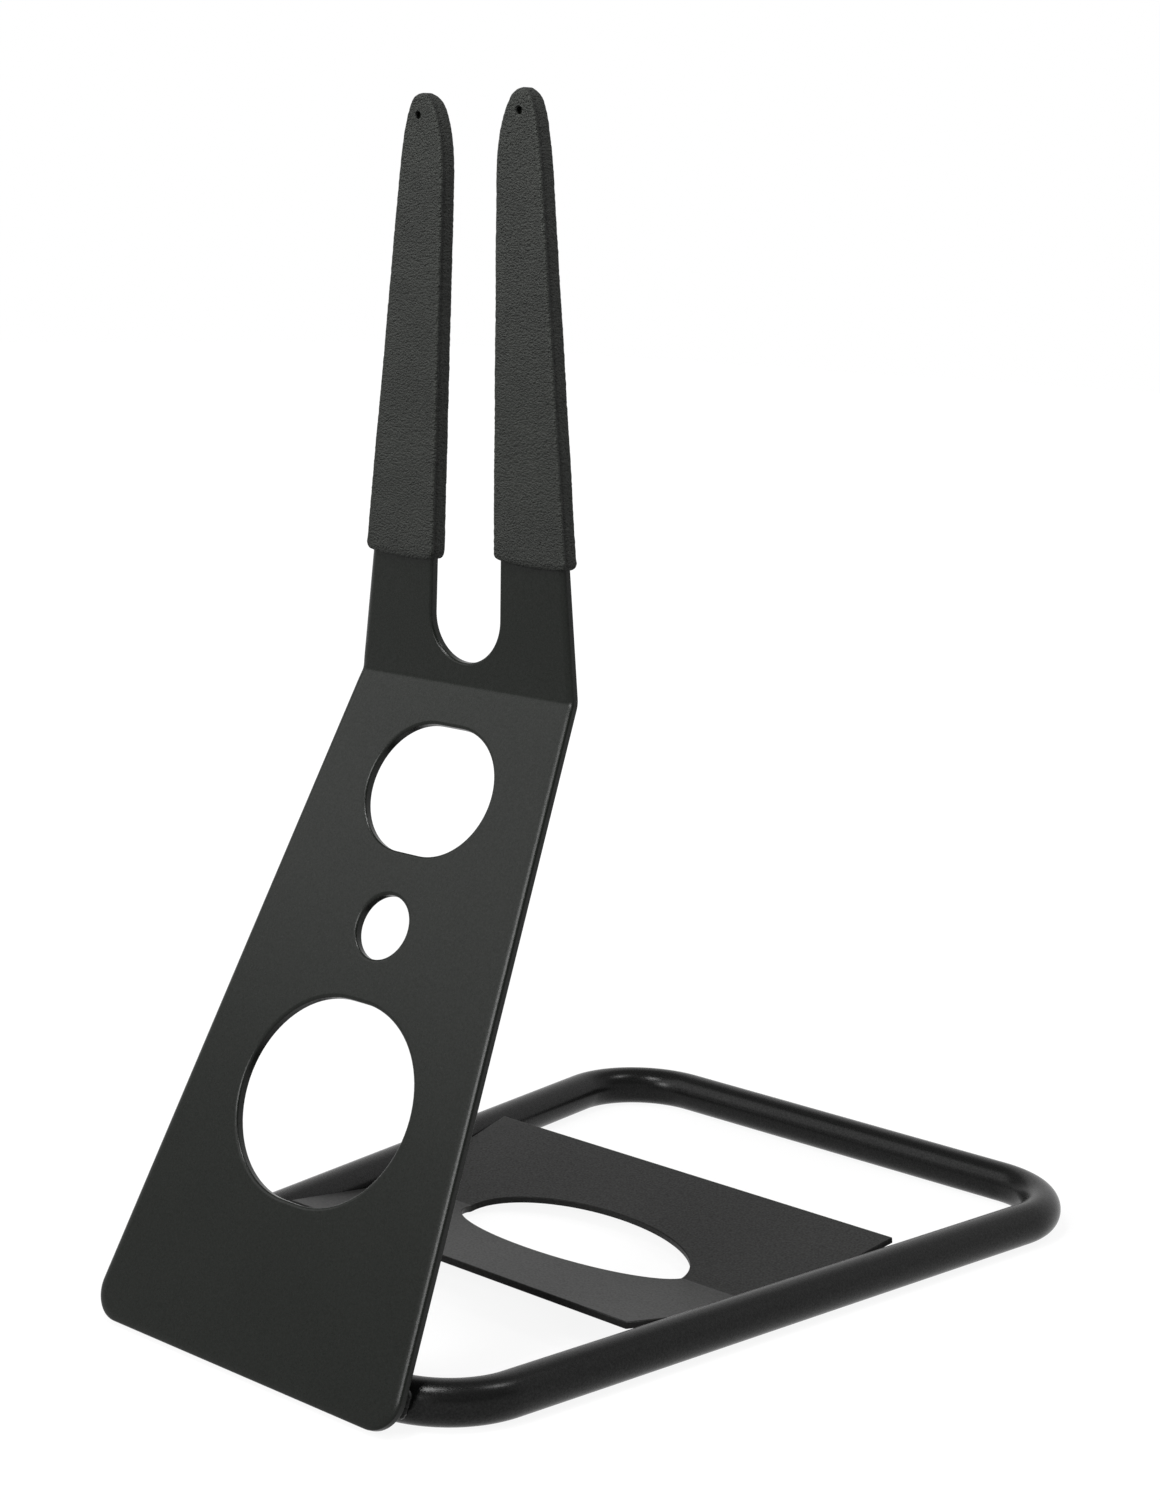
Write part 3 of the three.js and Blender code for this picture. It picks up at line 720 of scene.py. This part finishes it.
def make_trough():
    """The folded sheet between the sides of the loop, with its oval opening on the fold."""
    angle = math.asin(TROUGH_RISE / TROUGH_FLANK)
    fold = Fold(TROUGH_FLANK, -angle, 2 * angle, TROUGH_FOLD_RADIUS, TROUGH_THICKNESS)
    inset = (TUBE_RADIUS + GAP) / math.cos(LOOP_SPLAY)
    run = TROUGH_FLANK * math.cos(angle)
    front = loop_side_at(TROUGH_CENTRE - run) - inset
    back = loop_side_at(TROUGH_CENTRE + run) - inset
    end = fold.along_second_leg(TROUGH_FLANK)
    outline = np.array(((-front, 0), (front, 0), (back, end), (-back, end)), float)
    turns = np.radians(np.linspace(0, -360, OVAL_STEPS, endpoint=False))
    hole = np.column_stack((TROUGH_HOLE[0] * np.cos(turns), end / 2 + TROUGH_HOLE[1] * np.sin(turns)))
    drop = TROUGH_THICKNESS / 2
    floor = TROUGH_CLEARANCE + TROUGH_THICKNESS / math.cos(angle)
    foot = (0, TROUGH_CENTRE - run - drop * math.sin(angle),
            floor + TROUGH_RISE - drop * math.cos(angle))
    edge = edge_profile(TROUGH_THICKNESS, TROUGH_EASE, TROUGH_EASE)
    mesh = folded_sheet("trough_sheet", [(outline, edge, 1), (hole, edge, 1)], fold, foot)
    flatten_normals(add_piece("trough_sheet", mesh, TROUGH_PAINT, "trough_plate"))


# ------------------------ sleeves

# Points round a ring, and rings along a sleeve.
SECTION_FRONT = 44
SECTION_CORNER = 7
SECTION_SIDE = 12
CORNER_LIMIT = 0.98  # a corner's largest share of a slim tip
ROW_PITCH = 0.6
TIP_ROWS = 56
TIP_CURVE_STEPS = 200
TIP_FLOOR = 0.02
LIP_ROWS = 10
POCKET_PITCH = 6.0

# Leathery skin. A pitch counts a noise's features in a millimetre across, up and forwards.
GRAIN_DEPTH = 0.07
GRAIN_PITCH = (0.38, 0.8, 0.38)
FINE_GRAIN = 2.1
FINE_GRAIN_SHARE = 0.5
SIDE_ROUGHER = 1.2
SWELL_DEPTH = 0.16
SWELL_PITCH = (0.07, 0.045, 0.07)

# A bumpy ridge along each side edge of the front face, and the valley beside it.
RIDGE_DEPTH = 0.38
RIDGE_RISE = 0.35
RIDGE_PITCH = (0.2, 0.75, 0)
RIDGE_SEED = 7.3
SMOOTHER_RIDGE = 0.3
VALLEY_DEPTH = 0.22
VALLEY_PLACE = 2.1
VALLEY_WIDTH = 0.85

# Painted light on the sleeves: how much painted shade darkens the valleys, the flanks and the tip, and
# the mottle over the painted highlight on the ridges and the painted shade in the valleys.
MOTTLE_PITCH = (0.3, 0.9, 0)
MOTTLE_MIDDLE = 0.7
MOTTLE_SPREAD = 0.5
VALLEY_PAINTED_SHADE = 0.8
FLANK_PAINTED_SHADE = 0.15
TIP_PAINTED_SHADE = 0.5

HOLE_SIDES = 40
HOLE_FLARE = ((1, -0.45), (1.08, -0.15), (1.25, 0.0), (1.6, 0.3), (1.6, 2.0))  # radius share, height
HOLE_PAST_WALL = 1.0


def section(half_width, front, back, front_corner, back_corner):
    """A rounded rectangle round the prong's middle plane, always with the same number of points."""
    front_corner = min(front_corner, half_width * CORNER_LIMIT, front * CORNER_LIMIT)
    back_corner = min(back_corner, half_width * CORNER_LIMIT, back * CORNER_LIMIT)
    points = []
    for side, height, corner, first, count in (
        (1, front - front_corner, front_corner, 0, SECTION_FRONT),
        (-1, front - front_corner, front_corner, 90, SECTION_SIDE),
        (-1, back_corner - back, back_corner, 180, SECTION_FRONT),
        (1, back_corner - back, back_corner, 270, SECTION_SIDE),
    ):
        points += section_corner(side * (half_width - corner), height, corner, first)
        points += [None] * (count - 1)
    return filled(points)


def section_corner(x, y, radius, first):
    angles = [math.radians(first + 90 * k / SECTION_CORNER) for k in range(SECTION_CORNER + 1)]
    return [(x + radius * math.cos(a), y + radius * math.sin(a)) for a in angles]


def filled(points):
    """Puts evenly spaced points where a run of None stands between two known ones."""
    known = [k for k, point in enumerate(points) if point is not None]
    for here, there in zip(known, known[1:] + [known[0] + len(points)]):
        start, end = np.array(points[here]), np.array(points[there % len(points)])
        for k in range(here + 1, there):
            points[k] = tuple(start + (end - start) * (k - here) / (there - here))
    return np.array(points)


def sleeve_rows(grow):
    """Levels with the middle and half width of the grown prong there, and the level of its peak."""
    outer, inner = prong_edges(grow)
    rise, fall = (np.array(curve) for curve in prong_tip(grow, steps=TIP_CURVE_STEPS))
    fall = fall[::-1]
    peak = PRONG_LENGTH + grow
    straight = int((TIP_START - SLEEVE_START) / ROW_PITCH)
    levels = list(np.linspace(SLEEVE_START, TIP_START, straight, endpoint=False))
    turns = np.linspace(0, math.pi / 2, TIP_ROWS, endpoint=False)
    levels += [TIP_START + (peak - TIP_START) * math.sin(a) for a in turns]
    rows = []
    for level in levels:
        out = outer(level) if level < TIP_START else np.interp(level, rise[:, 1], rise[:, 0])
        into = inner(level) if level < TIP_START else np.interp(level, fall[:, 1], fall[:, 0])
        rows.append((level, (out + into) / 2, (out - into) / 2))
    return rows, peak


def sleeve_ring(level, middle, half_width, front, back, front_corner, back_corner):
    """One ring of a sleeve, in the prongs' frame: across, up the front face, and forwards."""
    ring = section(half_width, front, back, front_corner, back_corner)
    return np.column_stack((ring[:, 0] + middle, np.full(len(ring), level), ring[:, 1]))


def outside_rings(side_name):
    """The skin's rings, from the lip that turns in at the mouth up to the tip."""
    corners = (SLEEVE_FRONT_CORNER, SLEEVE_BACK_CORNER)
    rows, peak = sleeve_rows(SLEEVE_GROW)
    rings = []
    start, middle, half_width = rows[0]
    half_width -= SLEEVE_GROW - SLEEVE_MOUTH_GROW
    for k in range(LIP_ROWS):
        angle = math.pi / 2 * k / LIP_ROWS
        tuck = SLEEVE_MOUTH_GROW * SLEEVE_LIP_TUCK * (1 - math.sin(angle))
        level = start + SLEEVE_LIP * (1 - math.cos(angle))
        front, back = SLEEVE_FRONT - tuck, SLEEVE_BACK - tuck
        rings.append(sleeve_ring(level, middle, half_width - tuck, front, back, *corners))
    for level, middle, half_width in rows:
        if level < start + SLEEVE_LIP + ROW_PITCH / 2:
            continue
        share = min((level - SLEEVE_START) / (TIP_START - SLEEVE_START), 1)
        slimmer = (SLEEVE_GROW - SLEEVE_MOUTH_GROW) * (1 - share)
        front = SLEEVE_FRONT - rounding_loss(peak - level, *SLEEVE_TIP_FRONT)
        back = SLEEVE_BACK - rounding_loss(peak - level, *SLEEVE_TIP_BACK)
        into_tip = max(level - TIP_START, 0) / (peak - TIP_START)
        sunk = level - SLEEVE_TIP_SINK[side_name] * into_tip ** 2
        rings.append(sleeve_ring(sunk, middle, half_width - slimmer, front, back, *corners))
    return rings


def rounding_loss(from_tip, reach, depth):
    """How far a rounded edge of this reach and depth has fallen away at a distance from the tip."""
    short = 1 - min(max(from_tip, TIP_FLOOR) / reach, 1)
    return depth * (1 - math.sqrt(max(1 - short ** 2, 0)))


def pocket_rings():
    """The pocket's rings, from near its blind end down to the sleeve's mouth."""
    rows, peak = sleeve_rows(GAP)
    depth = UPRIGHT_THICKNESS / 2 + GAP
    step = int(POCKET_PITCH / ROW_PITCH)
    chosen = [row for row in rows[::step] if row[0] < peak - GAP]
    return [sleeve_ring(*row, depth, depth, GAP, GAP) for row in reversed(chosen)]


def noise_place(point, pitch, seed):
    """Where a point of a sleeve lies in a noise of the given pitch."""
    return Vector((point[0] * pitch[0], point[1] * pitch[1], point[2] * pitch[2] + seed))


def valley_share(point, normal):
    """How far a point lies in the valley beside a ridge, from 0 to 1."""
    from_valley = (SLEEVE_FRONT - VALLEY_PLACE - point[2]) / VALLEY_WIDTH
    return abs(normal[0]) * math.exp(-from_valley ** 2)


def grainy(points, normals, side, seed):
    """Moves points along their normals by a leathery grain, a slow swell, ridges and valleys.

    The ridges towards +X are the rougher ones on both sleeves.
    """
    moved = points.copy()
    for k, (point, normal) in enumerate(zip(points, normals)):
        place = noise_place(point, GRAIN_PITCH, seed)
        grain = noise.noise(place) + FINE_GRAIN_SHARE * noise.noise(FINE_GRAIN * place)
        grain *= 1 + SIDE_ROUGHER * abs(normal[0])
        swell = noise.noise(noise_place(point, SWELL_PITCH, seed))
        ridge = abs(normal[0]) * max(normal[2], 0)
        bumps = noise.noise(noise_place(point, RIDGE_PITCH, seed + RIDGE_SEED))
        bumps *= 1 if side * normal[0] > 0 else SMOOTHER_RIDGE
        valley = valley_share(point, normal) * (1 + bumps)
        rise = GRAIN_DEPTH * grain + SWELL_DEPTH * swell + ridge * (RIDGE_RISE + RIDGE_DEPTH * bumps)
        moved[k] = point + (rise - VALLEY_DEPTH * valley) * normal
    return moved


def painted_light_tones(points, normals, seed):
    """Painted light: a painted highlight along the ridges of the front face, and painted shade in the
    valleys beside them, on the flanks and at the tip.
    """
    painted_light_values = []
    for point, normal in zip(points, normals):
        ridge = 2 * abs(normal[0]) * max(normal[2], 0)
        valley = valley_share(point, normal)
        mottle = MOTTLE_MIDDLE + MOTTLE_SPREAD * noise.noise(noise_place(point, MOTTLE_PITCH, seed))
        flank = abs(normal[0]) * (1 - max(normal[2], 0))
        painted_light_values.append((ridge ** 2 - VALLEY_PAINTED_SHADE * valley) * mottle
                     - FLANK_PAINTED_SHADE * flank - TIP_PAINTED_SHADE * max(normal[1], 0))
    return painted_light_values


def at_mouth(points, side_name):
    """Tilts and sags the mouth, as the two sleeves were pushed on by hand."""
    outer, inner = (edge(SLEEVE_START) for edge in prong_edges(0))
    at_outer, at_inner = SLEEVE_MOUTH_RISE[side_name]
    points = points.copy()
    share = np.clip((points[:, 0] - inner) / (outer - inner), 0, 1)
    near = np.clip(1 - (points[:, 1] - SLEEVE_START) / SLEEVE_MOUTH_REACH, 0, 1) ** 2
    tilt = at_inner + (at_outer - at_inner) * share
    sag = 4 * SLEEVE_MOUTH_SAG * share * (1 - share)
    points[:, 1] += near * (tilt - sag)
    return points


def to_rack(points, side):
    """Takes points from the prongs' frame to the rack's, on the right (1) or left (-1) prong."""
    up = np.array((0, math.cos(PRONG_HEADING), math.sin(PRONG_HEADING)))
    out = np.array((0, -math.sin(PRONG_HEADING), math.cos(PRONG_HEADING)))
    middle = np.array(KNEE_FRONT) - UPRIGHT_THICKNESS / 2 * out
    points = np.asarray(points)
    across = np.outer(side * points[:, 0], (1, 0, 0))
    return middle + across + np.outer(points[:, 1], up) + np.outer(points[:, 2], out)


def bore_hole(piece, side_name, side):
    """Cuts the small hole near a sleeve's tip through its front wall, with a flared pin."""
    level = PRONG_LENGTH + SLEEVE_GROW - SLEEVE_HOLE_DROP[side_name]
    across = TIP_PEAK + SLEEVE_HOLE_SHIFT[side_name]
    profile = [(SLEEVE_HOLE_RADIUS, -SLEEVE_GROW - HOLE_PAST_WALL)]
    profile += [(SLEEVE_HOLE_RADIUS * share, forward) for share, forward in HOLE_FLARE]
    turns = [2 * math.pi * k / HOLE_SIDES for k in range(HOLE_SIDES)]
    points, faces = stacked_rings([
        [(across + r * math.cos(a), level + r * math.sin(a), SLEEVE_FRONT + forward) for a in turns]
        for r, forward in profile
    ])
    cutter = bpy.data.objects.new("cutter", mesh_of("cutter", to_rack(points, side), faces))
    bpy.context.scene.collection.objects.link(cutter)
    cut = piece.modifiers.new("hole", "BOOLEAN")
    cut.operation = "DIFFERENCE"
    cut.solver = "EXACT"
    cut.object = cutter
    apply_modifiers(piece)
    bpy.data.objects.remove(cutter)


def make_sleeve(side_name, side):
    """A foam sleeve with its pocket and hole, on the right (1) or left (-1) prong."""
    name = f"sleeve_foam_{side_name}"
    seed = 10 * side
    outside, pocket = outside_rings(side_name), pocket_rings()
    points, faces = stacked_rings(pocket + outside)
    smooth = mesh_of("skin", points, faces)
    normals = np.array([v.normal for v in smooth.vertices])
    bpy.data.meshes.remove(smooth)
    # Painted highlight and painted shade for each point, from the smooth skin's normals, kept as an
    # attribute for the foam's colour.
    painted_light_values = painted_light_tones(points, normals, seed)
    fixed = len(pocket) * len(pocket[0])
    points[fixed:] = grainy(points[fixed:], normals[fixed:], side, seed)
    mesh = mesh_of(name, to_rack(at_mouth(points, side_name), side), faces)
    mesh.attributes.new(PAINTED_LIGHT_TONE, "FLOAT", "POINT").data.foreach_set("value", painted_light_values)
    piece = add_piece(name, mesh, FOAM, f"sleeve_{side_name}")
    bore_hole(piece, side_name, side)


# ------------------------ welds

STITCH_BEAD = {"radius": 2.6, "pitch": 2.5}
TROUGH_BEAD = {"radius": 2.8, "pitch": 2.6}
EDGE_BEAD = {"length": 11.5, "radius": 3.0, "pitch": 2.9}
EDGE_BEAD_WIDER = 1.2

# Ripples of a bead. Each sinks towards its end, and its crown runs ahead of its sides.
BEAD_SIDES = 20
RINGS_PER_RIPPLE = 6
RIPPLE_DEPTH = 0.13
RIPPLE_VARIATION = 0.08
RIPPLE_LAG = 0.28
WOBBLE_DEPTH = 0.06
WOBBLE_PITCH = 0.4
BLUNT_END = 0.003

# The ring of weld round the tube, from its start above the floor to its end over the top.
SEAM_STEPS = 160
SEAM_SIDES = 12
SEAM_RADIUS = 1.25
SEAM_WIDTH = 1.5  # shares of the radius, along the tube and out from it
SEAM_HEIGHT = 0.75
SEAM_LIFT = 0.15
SEAM_START = math.radians(-62)
SEAM_SWEEP = math.radians(232)
SEAM_RIPPLE = (0.16, 1.1)  # depth, and radians in a step
SEAM_VARIATION = (0.1, 0.3)
SEAM_TAPER = 0.2
SEAM_BLUNT_END = 0.05


def bead_points(length, radius, pitch, seed):
    """A bead along +X of overlapping round ripples, each a little different from the last."""
    count = round(length / pitch) * RINGS_PER_RIPPLE
    rings = []
    for k in range(count + 1):
        share = k / count
        along = length * (share - 0.5)
        from_end = min(share, 1 - share) * length
        dome = math.sqrt(max(1 - (1 - min(from_end / radius, 1)) ** 2, BLUNT_END))
        phase = (along / pitch) % 1
        variation = RIPPLE_VARIATION * noise.noise(Vector((along / pitch, seed, 0.5)))
        ripple = 1 - RIPPLE_DEPTH * phase ** 2 + variation
        ring = []
        for side in range(BEAD_SIDES):
            angle = 2 * math.pi * side / BEAD_SIDES
            place = Vector((along * WOBBLE_PITCH, math.cos(angle), math.sin(angle) + seed))
            reach = radius * dome * ripple * (1 + WOBBLE_DEPTH * noise.noise(place))
            lag = RIPPLE_LAG * radius * dome * (math.cos(angle) ** 2 - 0.5)
            ring.append((along + lag, reach * math.sin(angle), reach * math.cos(angle)))
        rings.append(ring)
    return stacked_rings(rings)


def make_bead(name, node, matrix, seed, length, radius, pitch):
    """Lays a bead in place of a packed weld."""
    points, faces = bead_points(length, radius, pitch, seed)
    mesh = mesh_of(name, [matrix @ Vector(p) for p in points], faces)
    add_piece(name, mesh, WELD_PAINT, node)


def make_side_welds(side_name, side):
    """The upright's stitch and edge weld and the trough's two welds, on one side."""
    node = f"upright_stitch_{side_name}"
    low, high = box_mm(node)
    middle = (low + high) / 2
    nook = Vector((middle.x, low.y, low.z)).lerp(middle, 0.5)
    make_bead(f"stitch_bead_{side_name}", node, Matrix.Translation(nook), seed=3 + side,
              length=high.x - low.x, **STITCH_BEAD)
    node = f"upright_edge_weld_{side_name}"
    low, high = box_mm(node)
    up_the_edge = (Matrix.Translation((low + high) / 2) @ Matrix.Rotation(SHIN_HEADING, 4, "X")
                   @ Matrix.Rotation(math.pi / 2, 4, "Z") @ Matrix.Diagonal((1, EDGE_BEAD_WIDER, 1, 1)))
    make_bead(f"edge_bead_{side_name}", node, up_the_edge, seed=7 + side, **EDGE_BEAD)
    for end in ("front", "back"):
        node = f"trough_weld_{end}_{side_name}"
        low, high = box_mm(node)
        turn = Matrix.Rotation(math.pi / 2 - side * LOOP_SPLAY, 4, "Z")
        along_the_side = Matrix.Translation((low + high) / 2) @ turn
        make_bead(f"trough_bead_{end}_{side_name}", node, along_the_side,
                  seed=11 + side + len(end), length=high.y - low.y, **TROUGH_BEAD)


def make_seam():
    """The ring of weld where the tube's ends meet, behind the upright."""
    rings = []
    for k in range(SEAM_STEPS + 1):
        turn = SEAM_START + SEAM_SWEEP * k / SEAM_STEPS
        variation = SEAM_VARIATION[0] * noise.noise(Vector((k * SEAM_VARIATION[1], 0, 5)))
        wave = 1 + SEAM_RIPPLE[0] * math.sin(k * SEAM_RIPPLE[1]) + variation
        inside = 0 < k < SEAM_STEPS
        end = math.sin(math.pi * k / SEAM_STEPS) ** SEAM_TAPER if inside else SEAM_BLUNT_END
        ring = []
        for side in range(SEAM_SIDES):
            angle = 2 * math.pi * side / SEAM_SIDES
            rise = SEAM_RADIUS * SEAM_HEIGHT * wave * end * math.sin(angle)
            out = TUBE_RADIUS + SEAM_LIFT + rise
            ring.append((SEAM_RADIUS * SEAM_WIDTH * end * math.cos(angle),
                         LOOP_FRONT + out * math.cos(turn),
                         TUBE_RADIUS + out * math.sin(turn)))
        rings.append(ring)
    mesh = mesh_of("seam_bead", *stacked_rings(rings))
    add_piece("seam_bead", mesh, WELD_PAINT, "seam_weld")


# ------------------------ stage, in metres

HORIZON_TOP = math.radians(9)  # white up to here, and dim from HORIZON_GONE up
HORIZON_GONE = math.radians(26)
STUDIO_LEVEL = 0.28
BACKDROP_START = 0.2  # share of +Y in a direction where the backdrop starts
BACKDROP_FULL = 0.55
BACKDROP_TOP = math.radians(38)
BACKDROP_GONE = math.radians(58)

FLOOR_REACH = 8.0
FLOOR_COLOUR = 0.1
FLOOR_LIFT = 0.9  # glow of the floor at the rack, as background rays see it
LIFT_START = 0.35  # from here to LIFT_END the glow rises to 1
LIFT_END = 1.1

# Name, azimuth and elevation in degrees, distance, size and radiance of each lamp.
LAMP_AIM = Vector((0, 0, 0.15))
LAMPS = (
    ("above_camera", 1, 29, 4.0, (1.5, 1.2), 17.5),
    ("front_left", -42, 38, 2.2, (1.9, 1.6), 2.1),
    ("overhead_front", 9, 64, 0.95, (0.18, 0.3), 38),
    ("overhead_back", 130, 62, 1.86, (0.19, 0.36), 31),
)


def make_world():
    """A white horizon, a white backdrop behind the rack, and a dim studio elsewhere."""
    world = bpy.data.worlds.new("studio")
    bpy.context.scene.world = world
    nodes = Nodes(world)
    nodes.tree.nodes.clear()
    axes = nodes.add("ShaderNodeSeparateXYZ")
    nodes.link(nodes.add("ShaderNodeTexCoord").outputs["Generated"], axes.inputs[0])
    depth, height = axes.outputs["Y"], axes.outputs["Z"]
    horizon = nodes.ramp(height, 1, STUDIO_LEVEL, math.sin(HORIZON_TOP), math.sin(HORIZON_GONE),
                         "SMOOTHSTEP")
    behind = nodes.ramp(depth, 0, 1, BACKDROP_START, BACKDROP_FULL, "SMOOTHSTEP")
    low_enough = nodes.ramp(height, 1, 0, math.sin(BACKDROP_TOP), math.sin(BACKDROP_GONE),
                            "SMOOTHSTEP")
    backdrop = nodes.combine("MULTIPLY", behind, low_enough)
    background = nodes.add("ShaderNodeBackground", Color=(1, 1, 1, 1))
    nodes.link(nodes.combine("MAXIMUM", horizon, backdrop), background.inputs["Strength"])
    output = nodes.add("ShaderNodeOutputWorld")
    nodes.link(background.outputs[0], output.inputs["Surface"])


def floor_material():
    """Pale and matt, and lifted to white for the rays that show the background."""
    material = bpy.data.materials.new("floor")
    nodes = Nodes(material)
    nodes.tree.nodes.clear()
    diffuse = nodes.add("ShaderNodeBsdfDiffuse", Color=(FLOOR_COLOUR, FLOOR_COLOUR, FLOOR_COLOUR, 1))
    path = nodes.add("ShaderNodeLightPath").outputs
    background_ray = nodes.combine("MAXIMUM", path["Is Camera Ray"], path["Is Glossy Ray"])
    background_ray = nodes.combine("MAXIMUM", background_ray, path["Is Transmission Ray"])
    distance = nodes.add("ShaderNodeVectorMath", operation="LENGTH")
    nodes.link(nodes.add("ShaderNodeTexCoord").outputs["Object"], distance.inputs[0])
    lift = nodes.ramp(distance.outputs["Value"], FLOOR_LIFT, 1, LIFT_START, LIFT_END, "SMOOTHSTEP")
    glow = nodes.add("ShaderNodeEmission", Color=(1, 1, 1, 1))
    nodes.link(nodes.combine("MULTIPLY", background_ray, lift), glow.inputs["Strength"])
    both = nodes.add("ShaderNodeAddShader")
    nodes.link(diffuse.outputs[0], both.inputs[0])
    nodes.link(glow.outputs[0], both.inputs[1])
    output = nodes.add("ShaderNodeOutputMaterial")
    nodes.link(both.outputs[0], output.inputs["Surface"])
    return material


def make_floor():
    """A level floor that keeps the rack's shadow."""
    mesh = bpy.data.meshes.new("floor")
    corners = [(x * FLOOR_REACH, y * FLOOR_REACH, 0) for x, y in ((-1, -1), (1, -1), (1, 1), (-1, 1))]
    mesh.from_pydata(corners, [], [(0, 1, 2, 3)])
    mesh.materials.append(floor_material())
    floor = bpy.data.objects.new("floor", mesh)
    bpy.context.scene.collection.objects.link(floor)


def make_softbox(name, azimuth, elevation, distance, size, radiance):
    """A lamp in a direction from the rack, turned to it. The azimuth runs from -Y towards +X."""
    azimuth, elevation = math.radians(azimuth), math.radians(elevation)
    away = Vector((
        math.sin(azimuth) * math.cos(elevation),
        -math.cos(azimuth) * math.cos(elevation),
        math.sin(elevation),
    ))
    data = bpy.data.lights.new(name, "AREA")
    data.shape = "RECTANGLE"
    data.size, data.size_y = size
    data.energy = radiance * math.pi * size[0] * size[1]
    lamp = bpy.data.objects.new(name, data)
    lamp.location = LAMP_AIM + distance * away
    lamp.rotation_mode = "QUATERNION"
    lamp.rotation_quaternion = (-away).to_track_quat("-Z", "Y")
    bpy.context.scene.collection.objects.link(lamp)


# ------------------------ the scene

make_loop()
make_upright()
make_trough()
for name, side in SIDES:
    make_sleeve(name, side)
for name, side in SIDES:
    make_side_welds(name, side)
make_seam()

make_world()
make_floor()
for lamp in LAMPS:
    make_softbox(*lamp)

bpy.context.scene.view_settings.view_transform = "Standard"
